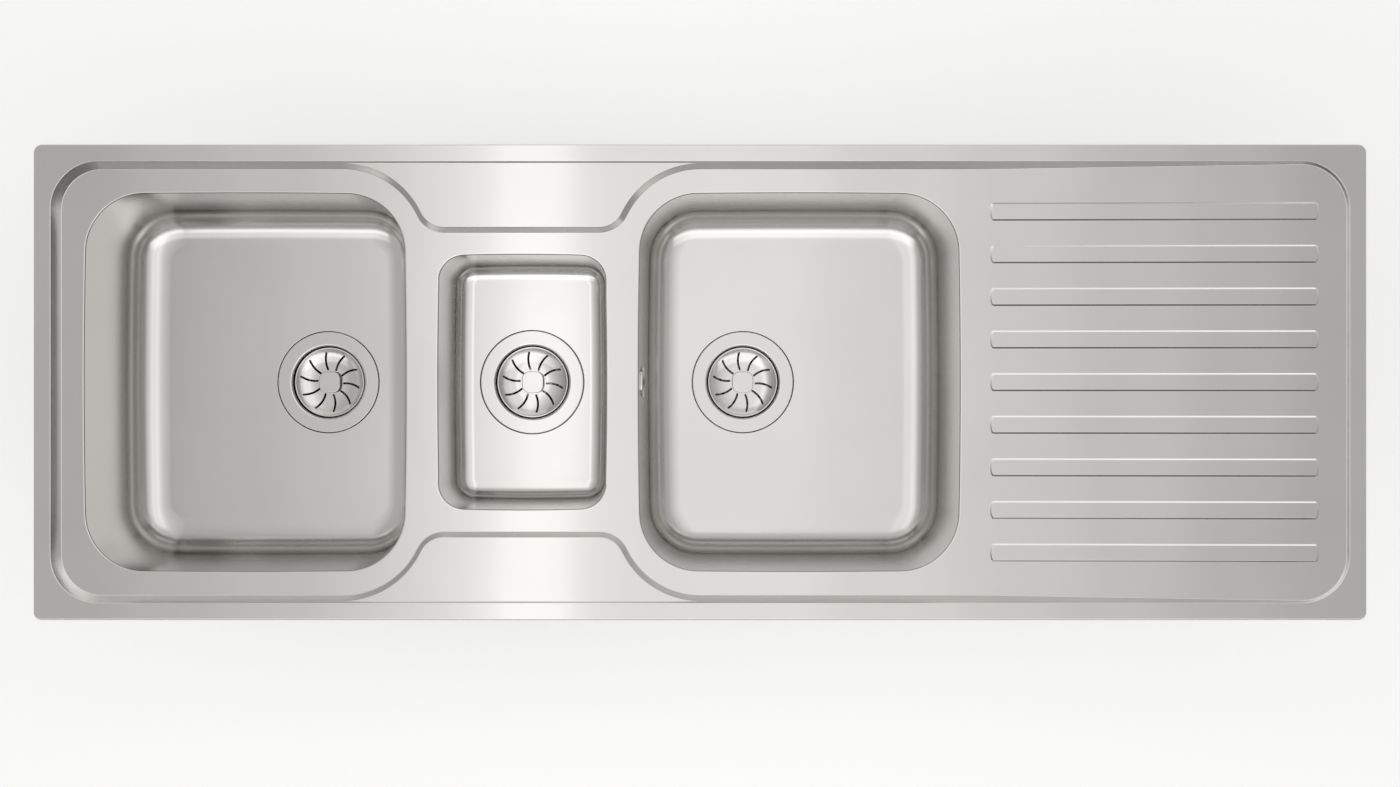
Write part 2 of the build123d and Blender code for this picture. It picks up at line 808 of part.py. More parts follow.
if __name__ == "__main__":
    os.makedirs("parts", exist_ok=True)
    write("sink_top", sink_top())
    write("rim_seal", rim_seal())
    right_bowl = main_bowl()
    write("right_bowl", right_bowl)
    write("left_bowl", mirrored(right_bowl))
    write("centre_bowl", half_bowl())
    main_shape = (main_bowl_depth, main_bowl_draft, main_bowl_cove)
    half_shape = (half_bowl_depth, half_bowl_draft, half_bowl_cove)
    right_pad = sound_pad(main_outline, main_floor, *main_shape, -waste_offset)
    right_pad = Pos(right_bowl_x, 0, 0) * right_pad
    write("right_sound_pad", right_pad)
    write("left_sound_pad", mirrored(right_pad))
    centre_pads = sound_pad(half_outline, half_floor, *half_shape, 0.0)
    write("centre_sound_pads", Pos(half_bowl_x, 0, 0) * centre_pads)
    right_body = Pos(right_waste_x, 0, main_floor) * waste_body(True)
    half_body = Pos(half_bowl_x, 0, half_floor) * waste_body(False)
    write_strainer("right", right_waste_x, main_floor, right_body)
    write_strainer("left", left_waste_x, main_floor, mirrored(right_body))
    write_strainer("centre", half_bowl_x, half_floor, half_body)
    overflow = {
        "overflow_rosette": overflow_rosette(),
        "overflow_seal": overflow_seal(),
        "overflow_box": overflow_box(),
        "overflow_hose": overflow_hose(),
    }
    for name, shape in overflow.items():
        write(f"right_{name}", shape)
        write(f"left_{name}", mirrored(shape))
    write("clip_brackets", clip_brackets())
    for index, place in enumerate(clip_places(), start=1):
        write(f"clip_screw_{index}", place * clip_screw())
        write(f"clip_claw_{index}", place * clip_claw())
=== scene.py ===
import json
import math

import bmesh
import bpy
import numpy as np
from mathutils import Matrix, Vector
from mathutils.geometry import tessellate_polygon


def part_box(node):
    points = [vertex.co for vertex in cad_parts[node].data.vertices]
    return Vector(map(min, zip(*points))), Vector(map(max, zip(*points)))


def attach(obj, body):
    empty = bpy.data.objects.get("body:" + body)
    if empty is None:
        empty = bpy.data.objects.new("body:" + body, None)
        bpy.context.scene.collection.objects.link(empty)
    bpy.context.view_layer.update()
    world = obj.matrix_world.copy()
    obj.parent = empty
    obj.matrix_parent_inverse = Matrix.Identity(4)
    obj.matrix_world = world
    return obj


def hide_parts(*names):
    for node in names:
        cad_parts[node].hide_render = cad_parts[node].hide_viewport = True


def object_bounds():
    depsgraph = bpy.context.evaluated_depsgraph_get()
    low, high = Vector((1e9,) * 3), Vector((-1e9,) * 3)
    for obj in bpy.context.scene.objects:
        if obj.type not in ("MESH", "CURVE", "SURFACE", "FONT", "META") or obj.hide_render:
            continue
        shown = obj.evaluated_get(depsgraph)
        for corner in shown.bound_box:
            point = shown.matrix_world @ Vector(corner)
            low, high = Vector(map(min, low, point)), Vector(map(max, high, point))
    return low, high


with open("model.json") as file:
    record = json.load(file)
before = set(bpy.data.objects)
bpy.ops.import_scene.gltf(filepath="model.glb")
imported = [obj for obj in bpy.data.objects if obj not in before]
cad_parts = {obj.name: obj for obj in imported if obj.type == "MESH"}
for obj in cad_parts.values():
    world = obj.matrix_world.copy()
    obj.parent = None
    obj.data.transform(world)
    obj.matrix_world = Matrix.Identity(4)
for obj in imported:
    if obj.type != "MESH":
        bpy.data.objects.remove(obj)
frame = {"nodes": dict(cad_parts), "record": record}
cad_low, cad_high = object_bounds()

# Sizes in metres, in the frame of the CAD model
MM = 0.001
RIM_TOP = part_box("sink_top")[1].z
HALF_LENGTH = cad_high.x
HALF_WIDTH = cad_high.y
SHEET = 0.8 * MM
SKIRT_END = 0.3 * MM
LINE_STEP = 20 * MM
RIM_FLAT = 18 * MM
RIM_CORNER = 9 * MM
RIM_ROUND = 2 * MM
POCKET_CORNER = 50 * MM
POCKET_STEPS = 20
STEP_ANGLE = math.radians(29.7)
STEP_ROUND = 1.2 * MM
LEDGE_DROP = 3 * MM
DECK_DROP = 12.5 * MM
DECK_TOP = RIM_TOP - DECK_DROP
LEDGE_INSET = 67 * MM
LEDGE_CORNER = 25 * MM
LEDGE_STEPS = 14
SWEEP_RADIUS = 93.5 * MM
SWEEP_STEPS = 28
SWEEP_OFFSET = 188.5 * MM
SLOPE_START = 290 * MM
SLOPE = 9.0 / 392
SLOPE_BLEND = 14 * MM
SLOPE_CUTS = [SLOPE_START + SLOPE_BLEND * share for share in (-1, -0.5, 0, 0.5, 1)]
RIB_COUNT = 9
RIB_PITCH = 45 * MM
RIB_START = 306 * MM
RIB_LENGTH = 345 * MM
RIB_WIDTH = 19.5 * MM
RIB_HEIGHT = 1.7 * MM
RIB_BULGE = 2.4 * MM
RIB_CORNER = 3.2 * MM
RIB_CORNER_STEPS = 6
RIB_END_STEPS = 10
RIB_ROUND = 0.6 * MM
RIB_LEAN = math.radians(50)
COLLAR = 6 * MM
MOUTH_ROUND = 2 * MM
RECESS_DEPTH = 3 * MM
RECESS_R = 58.3 * MM
RECESS_ROUND = 0.6 * MM
WASTE_HOLE_R = 45 * MM
OVERFLOW_DEPTH = 36 * MM
OVERFLOW_HOLE_R = 13 * MM

FLANGE_R = 57.6 * MM
FLANGE_PROUD = 0.3 * MM
FLANGE_LIP = 2.0 * MM
FLANGE_EDGE = 1.2 * MM
CUP_R = 41 * MM
CUP_MOUTH_ROUND = 3.0 * MM
CUP_SHOULDER_R = 25.5 * MM
CUP_SHOULDER_DEPTH = 26 * MM
CUP_DEPTH = 40 * MM
CUP_BENDS = (1.6 * MM, 2.4 * MM)
CUP_HOLE_COUNT = 6
CUP_HOLE_RING_R = 15 * MM
CUP_HOLE_R = 4.4 * MM
CUP_SIDES = 144
HOLE_SIDES = 24
SCREW_HOLE_R = 3.05 * MM

DISH_R = 40.1 * MM
DISH_BEAD_R = 1.2 * MM
DISH_BEAD_START = math.radians(-50)
DISH_DROP = 5.5 * MM
DISH_SLOPE = math.radians(35)
DISH_FLAT_R = 16 * MM
KNOB_SIZE = 24 * MM
KNOB_CORNER = 8.5 * MM
KNOB_DROP = 5 * MM
KNOB_ROUND = 1.0 * MM
PEG_R = 2.9 * MM
PEG_END = 37.7 * MM
SEAL_R = (31.3 * MM, 35.5 * MM)
SEAL_END = 25.7 * MM
SEAL_DROP = SHEET * 1.3
DISH_HOLE_R = 6 * MM
SLOT_COUNT = 10
SLOT_INNER_R = 15.2 * MM
SLOT_OUTER_R = 33.5 * MM
SLOT_INNER_ANGLE = math.radians(30.3)
SLOT_OUTER_ANGLE = math.radians(25.2)
SLOT_WIDTH = 2.4 * MM
SLOT_SAGITTA = 1.7 * MM

TAIL_R = 23.9 * MM
THREAD_LENGTH = 20 * MM
THREAD_START = 1.5 * MM
THREAD_PITCH = 2.5 * MM
THREAD_HEIGHT = 1.0 * MM
THREAD_ROOT = 0.2 * MM
HOSE_R = 11.2 * MM
HOSE_BEND = 45 * MM
HOSE_CUFF = 16 * MM
HOSE_PITCH = 4.2 * MM
HOSE_GROOVE = 1.3 * MM
PORT_R = 9.6 * MM

HALF_BOWL_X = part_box("centre_bowl")[0].x / 2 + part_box("centre_bowl")[1].x / 2
LEFT_WASTE_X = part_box("left_basket")[0].x / 2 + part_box("left_basket")[1].x / 2
RIGHT_WASTE_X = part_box("right_basket")[0].x / 2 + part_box("right_basket")[1].x / 2


class Bowl:
    """The sizes of one bowl: its mouth at the deck, depth, wall draft and cove."""

    def __init__(self, name, waste_x, size, corner, bows, depth, draft, cove):
        low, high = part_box(name + "_bowl")
        self.name = name
        self.x = (low.x + high.x) / 2
        self.waste_x = waste_x
        self.size = size
        self.corner = corner
        self.bows = bows
        self.depth = depth
        self.draft = math.radians(draft)
        self.cove = cove
        self.floor = DECK_TOP - depth


MAIN = ((340 * MM, 400 * MM), 62 * MM, (2.8 * MM, 1.3 * MM), 147.5 * MM, 3.8, 38 * MM)
HALF = ((178 * MM, 270 * MM), 27 * MM, (1.8 * MM, 1.8 * MM), 107.5 * MM, 3.5, 19 * MM)
BOWLS = [
    Bowl("left", LEFT_WASTE_X, *MAIN),
    Bowl("centre", HALF_BOWL_X, *HALF),
    Bowl("right", RIGHT_WASTE_X, *MAIN),
]


# ---------------------------------------------------------------- surfaces


POINT_STEPS = 1e7
NORMAL_STEPS = 200


class Surface:
    """Points with exact normals, and faces, gathered patch by patch into one mesh."""

    def __init__(self):
        self.index = {}
        self.points = []
        self.normals = []
        self.faces = []
        self.tone = 0
        self.tones = []

    def vertex(self, point, normal):
        """The number of a point, shared where both place and normal agree."""
        key = (*(round(c * POINT_STEPS) for c in point), *(round(c * NORMAL_STEPS) for c in normal))
        if key not in self.index:
            self.index[key] = len(self.points)
            self.points.append(tuple(point))
            self.normals.append(tuple(normal))
        return self.index[key]

    def loop(self, row):
        return [self.vertex(p, n) for p, n in zip(*row)]

    def face(self, corners):
        kept = [c for i, c in enumerate(corners) if c != corners[i - 1]]
        if len(set(kept)) > 2:
            self.faces.append(kept)
            self.tones.append(self.tone)

    def grid(self, rows, skip=()):
        """Quads between closed rows of (points, normals), which run anticlockwise and inwards.

        skip names quads to leave out, as (row, place in the row)."""
        lines = [self.loop(row) for row in rows]
        count = len(lines[0])
        for level, (near, far) in enumerate(zip(lines, lines[1:])):
            for i in range(count):
                k = (i + 1) % count
                if (level, i) not in skip:
                    self.face([near[i], near[k], far[k], far[i]])

    def fill(self, loops, place, cuts=()):
        """A region between an outer loop and holes, all as (u, v); place gives point and normal.

        cuts are values of u at which its faces are divided, so that it can bend there."""
        polygons = [[Vector((u, v, 0)) for u, v in loop] for loop in loops]
        flat = [p for loop in polygons for p in loop]
        work = bmesh.new()
        verts = [work.verts.new(p) for p in flat]
        for corners in tessellate_polygon(polygons):
            a, b, c = (flat[i] for i in corners)
            turn = (b - a).cross(c - a).z
            if abs(turn) > 1e-13:
                work.faces.new([verts[i] for i in (corners if turn > 0 else corners[::-1])])
        for cut in cuts:
            everything = work.verts[:] + work.edges[:] + work.faces[:]
            plane = {"plane_co": (cut, 0, 0), "plane_no": (1, 0, 0)}
            bmesh.ops.bisect_plane(work, geom=everything, **plane)
        for face in work.faces:
            self.face([self.vertex(*place(v.co.x, v.co.y)) for v in face.verts])
        work.free()

    def shell(self, thickness, edges):
        """Adds the under side at a thickness, and closes it along the given open loops."""
        top = len(self.points)
        points = np.array(self.points)
        normals = np.array(self.normals)
        self.points += [tuple(p) for p in points - thickness * normals]
        self.normals += [tuple(n) for n in -normals]
        self.faces += [[i + top for i in reversed(f)] for f in self.faces]
        self.tones *= 2
        for loop in edges:
            for i, k in zip(loop, loop[1:] + loop[:1]):
                corners = [np.array(self.points[j]) for j in (k, i, i + top, k + top)]
                across = np.cross(corners[2] - corners[0], corners[3] - corners[1])
                if np.linalg.norm(across) > 1e-12:
                    self.face([self.vertex(c, across / np.linalg.norm(across)) for c in corners])

    def mesh(self, name):
        data = bpy.data.meshes.new(name)
        data.from_pydata(self.points, [], self.faces)
        data.polygons.foreach_set("material_index", self.tones)
        data.shade_smooth()
        data.normals_split_custom_set_from_vertices(self.normals)
        data.update()
        return data


def lifted(flat, height):
    """Plan points or directions with a third value, one for all or one each."""
    return np.column_stack([flat, np.broadcast_to(height, len(flat))])


def leaning(normals, lean):
    """Plan normals turned so that they lean out from straight up by an angle."""
    return lifted(normals * math.sin(lean), math.cos(lean))


def plan(row):
    return row[0][:, :2]


def level_at(height, up=1):
    """What Surface.fill needs to place a level region."""
    return lambda x, y: ((x, y, height), (0, 0, up))


def piece(name, data, materials, body, slot, *nodes):
    """Puts a mesh or curve into the scene as a piece that stands for CAD nodes."""
    made = bpy.data.objects.new(name, data)
    bpy.context.scene.collection.objects.link(made)
    for material in materials:
        data.materials.append(FINISHES[material])
    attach(made, body)
    if nodes:
        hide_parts(*nodes)
    return made


# ---------------------------------------------------------------- outlines


class Outline:
    """A closed plan outline sampled anticlockwise: points and outward normals."""

    def __init__(self):
        self.points = []
        self.normals = []
        self.marks = []

    def line(self, start, end, step=LINE_STEP, mark=0):
        start, end = np.array(start, float), np.array(end, float)
        run = end - start
        count = max(1, round(float(np.hypot(*run)) / step))
        normal = np.array([run[1], -run[0]]) / np.hypot(*run)
        for i in range(count):
            self.points.append(start + run * i / count)
            self.normals.append(normal)
            self.marks.append(mark)

    def arc(self, centre, radius, start, end, count, mark=0):
        """An arc between two angles in radians; it turns inwards where they fall."""
        side = 1 if end > start else -1
        for i in range(count):
            angle = start + (end - start) * i / count
            direction = np.array([math.cos(angle), math.sin(angle)])
            self.points.append(np.array(centre) + radius * direction)
            self.normals.append(side * direction)
            self.marks.append(mark)

    def done(self):
        self.points = np.array(self.points)
        self.normals = np.array(self.normals)
        self.marks = np.array(self.marks)
        return self

    def moved(self, x, y=0.0):
        other = Outline()
        other.points = self.points + np.array([x, y])
        other.normals = self.normals
        other.marks = self.marks
        return other

    def at(self, offset):
        return self.points + self.normals * np.reshape(offset, (-1, 1))


# Outlines are drawn in two halves, the second half a turn on: the sign and angle of each
HALF_TURNS = ((1, 0), (-1, math.pi))
QUARTER = math.pi / 2


def round_rectangle(half_x, half_y, corner, step, corner_steps):
    made = Outline()
    x, y = half_x - corner, half_y - corner
    for side, lean in HALF_TURNS:
        made.line((side * half_x, -side * y), (side * half_x, side * y), step)
        made.arc((side * x, side * y), corner, lean, lean + QUARTER, corner_steps)
        made.line((side * x, side * half_y), (-side * x, side * half_y), step)
        made.arc((-side * x, side * y), corner, lean + QUARTER, lean + math.pi, corner_steps)
    return made.done()


def circle(radius, count=96):
    made = Outline()
    made.arc((0, 0), radius, 0, 2 * math.pi, count)
    return made.done()


def bowed_rectangle(size, corner, bows, corner_steps=18, side_steps=14):
    """A rounded rectangle whose sides are shallow arcs, meeting its corners smoothly."""
    half = [size[0] / 2, size[1] / 2]
    radius = []
    for across, bow in ((1, bows[0]), (0, bows[1])):
        chord = half[across] - bows[1 - across]
        radius.append((chord**2 + bow**2) / (2 * bow))
    gap = (half[0] - radius[0], half[1] - radius[1])
    low, high = 0.0, min(half)
    reach_x, reach_y = radius[0] - corner, radius[1] - corner
    for _ in range(60):
        middle = (low + high) / 2
        x = gap[0] + math.sqrt(max(reach_x**2 - middle**2, 0))
        y = gap[1] + math.sqrt(max(reach_y**2 - x**2, 0))
        if y > middle:
            low = middle
        else:
            high = middle
    y = (low + high) / 2
    x = gap[0] + math.sqrt(reach_x**2 - y**2)
    y = gap[1] + math.sqrt(reach_y**2 - x**2)
    start = math.atan2(y, x - gap[0])
    end = math.atan2(y - gap[1], x)
    made = Outline()
    for side, lean in HALF_TURNS:
        sweeps = [
            ((gap[0], 0), radius[0], -start, start, side_steps),
            ((x, y), corner, start, end, corner_steps),
            ((0, gap[1]), radius[1], end, math.pi - end, side_steps),
            ((-x, y), corner, math.pi - end, math.pi - start, corner_steps),
        ]
        for (at_x, at_y), sweep_r, first, last, steps in sweeps:
            made.arc((side * at_x, side * at_y), sweep_r, first + lean, last + lean, steps)
    return made.done()


def deck_outline():
    """The pocket with its two tap-ledge bays; marks are 1 round a bay."""
    made = Outline()
    half_x, half_y = HALF_LENGTH - RIM_FLAT, HALF_WIDTH - RIM_FLAT
    sweep_y = half_y - SWEEP_RADIUS
    corner_y = half_y - LEDGE_INSET + LEDGE_CORNER
    reach = SWEEP_RADIUS + LEDGE_CORNER
    corner_x = SWEEP_OFFSET - math.sqrt(reach**2 - (corner_y - sweep_y) ** 2)
    turn = math.atan2(corner_y - sweep_y, corner_x - SWEEP_OFFSET)
    ledge_y = half_y - LEDGE_INSET
    right_x, left_x = HALF_BOWL_X + SWEEP_OFFSET, HALF_BOWL_X - SWEEP_OFFSET
    end_x, end_y = half_x - POCKET_CORNER, half_y - POCKET_CORNER
    for side, lean in HALF_TURNS:
        right, left = (right_x, left_x) if side > 0 else (-left_x, -right_x)
        near_x, far_x = side * HALF_BOWL_X + corner_x, side * HALF_BOWL_X - corner_x
        quarter, half = lean + QUARTER, lean + math.pi

        def spot(x, y):
            return (side * x, side * y)

        made.line(spot(half_x, 0), spot(half_x, end_y))
        made.arc(spot(end_x, end_y), POCKET_CORNER, lean, quarter, POCKET_STEPS)
        stops = [end_x, *SLOPE_CUTS[::-1], right] if side > 0 else [end_x, right]
        for near, far in zip(stops, stops[1:]):
            made.line(spot(near, half_y), spot(far, half_y))
        made.arc(spot(right, sweep_y), SWEEP_RADIUS, quarter, lean + turn, SWEEP_STEPS, 1)
        start, end = lean + (turn - math.pi), lean - QUARTER
        made.arc(spot(near_x, corner_y), LEDGE_CORNER, start, end, LEDGE_STEPS, 1)
        made.line(spot(near_x, ledge_y), spot(far_x, ledge_y), mark=1)
        start, end = end, lean - math.pi - (turn - math.pi)
        made.arc(spot(far_x, corner_y), LEDGE_CORNER, start, end, LEDGE_STEPS, 1)
        made.arc(spot(left, sweep_y), SWEEP_RADIUS, half - turn, quarter, SWEEP_STEPS, 1)
        stops = [left, -end_x] if side > 0 else [left, *[-x for x in SLOPE_CUTS], -end_x]
        for near, far in zip(stops, stops[1:]):
            made.line(spot(near, half_y), spot(far, half_y))
        made.arc(spot(-end_x, end_y), POCKET_CORNER, quarter, half, POCKET_STEPS)
        made.line(spot(-half_x, end_y), spot(-half_x, 0))
    return made.done()


def rib_outline():
    """One rib: straight sides, ends that bulge and small round corners."""
    half_x, half_y = RIB_LENGTH / 2, RIB_WIDTH / 2
    bulge_r = (half_y**2 + RIB_BULGE**2) / (2 * RIB_BULGE)
    centre = half_x - bulge_r
    corner_y = half_y - RIB_CORNER
    corner_x = centre + math.sqrt((bulge_r - RIB_CORNER) ** 2 - corner_y**2)
    angle = math.atan2(corner_y, corner_x - centre)
    made = Outline()
    for side, lean in HALF_TURNS:
        x, y, quarter = side * corner_x, side * corner_y, lean + QUARTER
        made.arc((side * centre, 0), bulge_r, lean - angle, lean + angle, RIB_END_STEPS)
        made.arc((x, y), RIB_CORNER, lean + angle, quarter, RIB_CORNER_STEPS)
        made.line((x, side * half_y), (-x, side * half_y))
        made.arc((-x, y), RIB_CORNER, quarter, lean + math.pi - angle, RIB_CORNER_STEPS)
    return made.done()


# ---------------------------------------------------------------- pressed sheet


def floor_height(x):
    """Height of the deck and the sloping drainer at a place along the sink."""
    if x <= SLOPE_START - SLOPE_BLEND:
        return DECK_TOP
    if x >= SLOPE_START + SLOPE_BLEND:
        return DECK_TOP + (x - SLOPE_START) * SLOPE
    run = x - SLOPE_START + SLOPE_BLEND
    return DECK_TOP + SLOPE * run**2 / (4 * SLOPE_BLEND)


def floor_normal(x):
    """Upward normal of the deck and the drainer at a place along the sink."""
    share = (x - SLOPE_START + SLOPE_BLEND) / (2 * SLOPE_BLEND)
    rise = SLOPE * min(max(share, 0), 1)
    length = math.hypot(1, rise)
    return (-rise / length, 0, 1 / length)


def heights_at(flat):
    return np.array([floor_height(x) for x in flat[:, 0]])


def on_floor(x, y):
    """What Surface.fill needs to place the deck and the drainer."""
    return (x, y, floor_height(x)), floor_normal(x)


def on_rib(x, y):
    return (x, y, floor_height(x) + RIB_HEIGHT), floor_normal(x)


def edge_arc(angle, radius, steps, foot=False):
    """Offsets, drops and normals round an edge, from level to a wall leaning by an angle.

    A top edge starts level and turns down; a foot starts on the wall and levels out."""
    turn = math.pi / 2 - angle
    setback = radius * math.tan(turn / 2)
    found = []
    for i in range(steps + 1):
        lean = turn * (i / steps if not foot else 1 - i / steps)
        if foot:
            found.append((-setback + radius * math.sin(lean), radius * (1 - math.cos(lean)), lean))
        else:
            found.append((setback - radius * math.sin(lean), -radius * (1 - math.cos(lean)), lean))
    return found


def band_rows(outline, arc, level, shift=0):
    """Rows of (points, normals) round an outline for one edge arc at a level."""
    return [
        (lifted(outline.at(offset + shift), level + rise), leaning(outline.normals, -lean))
        for offset, rise, lean in arc
    ]


def pocket_rows():
    """The stepped side of the pocket: rim edge, ledge foot, ledge edge and deck foot.

    Where there is no ledge the two middle edges shrink to one line on the slope."""
    deck = deck_outline()
    half_y = HALF_WIDTH - RIM_FLAT
    bay = deck.marks == 1
    rim = Outline()
    rim.points, rim.normals = deck.points.copy(), deck.normals.copy()
    side = np.sign(deck.points[:, 1])
    rim.points[bay, 1] = side[bay] * half_y
    rim.normals[bay] = np.column_stack([np.zeros(bay.sum()), side[bay]])
    gap = np.hypot(*(rim.points - deck.points).T)
    share = np.clip(gap / (4 * STEP_ROUND), 0, 1)
    lean = math.tan(STEP_ANGLE)
    rows = band_rows(rim, edge_arc(STEP_ANGLE, STEP_ROUND, 4), RIM_TOP)
    for outline, foot in ((rim, True), (deck, False)):
        for offset, rise, turn in edge_arc(STEP_ANGLE, STEP_ROUND, 4, foot):
            flat = outline.at(offset * share - LEDGE_DROP * lean)
            heights = RIM_TOP - LEDGE_DROP + rise * share
            tilt = np.where(share > 0, turn, math.pi / 2 - STEP_ANGLE)
            normals = lifted(outline.normals * -np.sin(tilt)[:, None], np.cos(tilt))
            rows.append((lifted(flat, heights), normals))
    foot_line = deck.points
    for _ in range(3):
        heights = heights_at(foot_line)
        foot_line = deck.points - deck.normals * (RIM_TOP - heights)[:, None] * lean
    for offset, rise, turn in edge_arc(STEP_ANGLE, STEP_ROUND, 5, True):
        flat = deck.at(offset - (RIM_TOP - heights) * lean)
        levels = heights + rise
        normals = leaning(deck.normals, -turn)
        if turn < 1e-6:
            levels = heights_at(flat)
            normals = np.array([floor_normal(x) for x in flat[:, 0]])
        rows.append((lifted(flat, levels), normals))
    return rows


def rim_rows():
    """The outer edge: skirt, rounded shoulder, and the start of the flat rim."""
    outline = round_rectangle(HALF_LENGTH, HALF_WIDTH, RIM_CORNER, LINE_STEP, 10)
    rows = [(lifted(outline.points, SKIRT_END), lifted(outline.normals, 0))]
    steps = 6
    for i in range(steps + 1):
        turn = math.pi / 2 * i / steps
        flat = outline.at(-RIM_ROUND * (1 - math.cos(turn)))
        height = RIM_TOP - RIM_ROUND * (1 - math.sin(turn))
        normals = lifted(outline.normals * math.cos(turn), math.sin(turn))
        rows.append((lifted(flat, height), normals))
    return rows


def rib_rows(middle_y):
    """The side of one rib, from the drainer's face up to its flat top."""
    outline = rib_outline().moved(RIB_START + RIB_LENGTH / 2, middle_y)
    run = RIB_HEIGHT * math.tan(RIB_LEAN)
    top = [(-o - run, RIB_HEIGHT + r, t) for o, r, t in edge_arc(RIB_LEAN, RIB_ROUND, 3)]
    foot = [(-o, r, t) for o, r, t in edge_arc(RIB_LEAN, RIB_ROUND, 3, True)]
    found = []
    for offset, rise, turn in reversed(top + foot):
        flat = outline.at(offset)
        normals = leaning(outline.normals, turn)
        normals[:, 0] += np.array([floor_normal(x)[0] for x in flat[:, 0]])
        normals /= np.linalg.norm(normals, axis=1)[:, None]
        found.append((lifted(flat, heights_at(flat) + rise), normals))
    return found


def mouth_outline(bowl):
    return bowed_rectangle(bowl.size, bowl.corner, bowl.bows).moved(bowl.x)


def pressed_top():
    """The whole top as one thin shell."""
    made = Surface()
    rim = rim_rows()
    pocket = pocket_rows()
    made.grid(rim)
    made.grid(pocket)
    made.fill([plan(rim[-1]), plan(pocket[0])], level_at(RIM_TOP))
    holes = []
    edges = []
    for bowl in BOWLS:
        outline = mouth_outline(bowl)
        rows = band_rows(outline, edge_arc(bowl.draft, MOUTH_ROUND, 6), DECK_TOP)
        wall = outline.at(-COLLAR * math.tan(bowl.draft))
        rows.append((lifted(wall, DECK_TOP - COLLAR), rows[-1][1]))
        made.grid(rows[:4])
        # The lower part of the mouth rounding takes the painted-shade finish
        made.tone = 1
        made.grid(rows[3:7])
        made.tone = 0
        made.grid(rows[6:])
        holes.append(plan(rows[0]))
        edges.append(made.loop(rows[-1])[::-1])
    for index in range(RIB_COUNT):
        rows = rib_rows((index - (RIB_COUNT - 1) / 2) * RIB_PITCH)
        made.grid(rows)
        holes.append(plan(rows[0]))
        made.fill([plan(rows[-1])], on_rib)
    made.fill([plan(pocket[-1]), *holes], on_floor, SLOPE_CUTS)
    edges.append(made.loop(rim[0]))
    made.shell(SHEET, edges)
    return made.mesh("sink_top_shape")


def wall_panel(made, bowl, rows):
    """The part of a main bowl's wall round the overflow hole.

    Gives the quads of the wall that it stands for, and the hole's edge."""
    side = 1 if bowl.name == "left" else -1
    upper, lower = rows[0][0], rows[1][0]
    normals = rows[0][1]
    reach = 0.1 * bowl.size[1] / 2 + OVERFLOW_HOLE_R
    count = len(upper)
    chosen = []
    for i in range(count):
        ends = [upper[i], upper[(i + 1) % count]]
        if all((x - bowl.x) * side > 0 and abs(y) < reach for x, y, _ in ends):
            chosen.append(i)
    chosen.sort(key=lambda i: side * upper[i][1])
    line = chosen + [(chosen[-1] + 1) % count]
    top_line = [(-side * upper[i][1], upper[i][2]) for i in line]
    low_line = [(-side * lower[i][1], lower[i][2]) for i in line]

    def place(across, z):
        y = -side * across
        span = sorted(range(len(line)), key=lambda j: abs(upper[line[j]][1] - y))[:2]
        a, b = (line[j] for j in span)
        drop = (upper[a][2] - z) / (upper[a][2] - lower[a][2])
        ends = [upper[i] + (lower[i] - upper[i]) * drop for i in (a, b)]
        share = (y - ends[0][1]) / (ends[1][1] - ends[0][1])
        point = ends[0] + (ends[1] - ends[0]) * share
        normal = normals[a] + (normals[b] - normals[a]) * share
        return point, normal / np.linalg.norm(normal)

    middle = DECK_TOP - OVERFLOW_DEPTH
    tall = OVERFLOW_HOLE_R * math.cos(bowl.draft)
    angles = [2 * math.pi * i / 48 for i in range(48)]
    hole = [(OVERFLOW_HOLE_R * math.cos(a), middle + tall * math.sin(a)) for a in angles]
    made.fill([top_line + low_line[::-1], hole], place)
    loop = [made.vertex(*place(across, z)) for across, z in hole]
    return {(0, i) for i in chosen}, loop[::-1]


def bowl_shell(bowl):
    """One bowl below its collar, with cove, floor, stamped waste recess and overflow hole."""
    made = Surface()
    outline = mouth_outline(bowl)
    lean = math.tan(bowl.draft)
    flat = outline.at(-COLLAR * lean)
    arc = edge_arc(bowl.draft, bowl.cove, 16, True)
    rows = band_rows(outline, arc, bowl.floor, -bowl.depth * lean)
    rows.insert(0, (lifted(flat, DECK_TOP - COLLAR), rows[0][1]))
    skip, hole_loops = (), []
    if bowl.name != "centre":
        skip, loop = wall_panel(made, bowl, rows)
        hole_loops = [loop]
    made.grid(rows, skip)
    ring = circle(RECESS_R).moved(bowl.waste_x)
    base = bowl.floor - RECESS_DEPTH
    recess = band_rows(ring, edge_arc(0, RECESS_ROUND, 3), bowl.floor)
    recess += band_rows(ring, edge_arc(0, RECESS_ROUND, 3, True), base)
    hole = circle(WASTE_HOLE_R).moved(bowl.waste_x)
    recess.append((lifted(hole.points, base), leaning(hole.normals, 0)))
    made.grid(recess)
    made.fill([plan(rows[-1]), plan(recess[0])], level_at(bowl.floor))
    made.shell(SHEET, [made.loop(rows[0]), made.loop(recess[-1])[::-1], *hole_loops])
    return made.mesh(bowl.name + "_bowl_shape")


# ---------------------------------------------------------------- baskets


def slot_course():
    """The middle line of a basket slot: its angle and its slant at each radius."""
    start = SLOT_INNER_R * np.array([math.cos(SLOT_INNER_ANGLE), math.sin(SLOT_INNER_ANGLE)])
    end = SLOT_OUTER_R * np.array([math.cos(SLOT_OUTER_ANGLE), math.sin(SLOT_OUTER_ANGLE)])
    run = end - start
    side = np.array([-run[1], run[0]]) / np.hypot(*run)
    share = np.linspace(0, 1, 60)[:, None]
    line = start + run * share + side * SLOT_SAGITTA * 4 * share * (1 - share)
    radii = np.hypot(*line.T)
    angles = np.arctan2(line[:, 1], line[:, 0])
    slant = np.hypot(1, radii * np.gradient(angles, radii))
    return lambda r: (float(np.interp(r, radii, angles)), float(np.interp(r, radii, slant)))


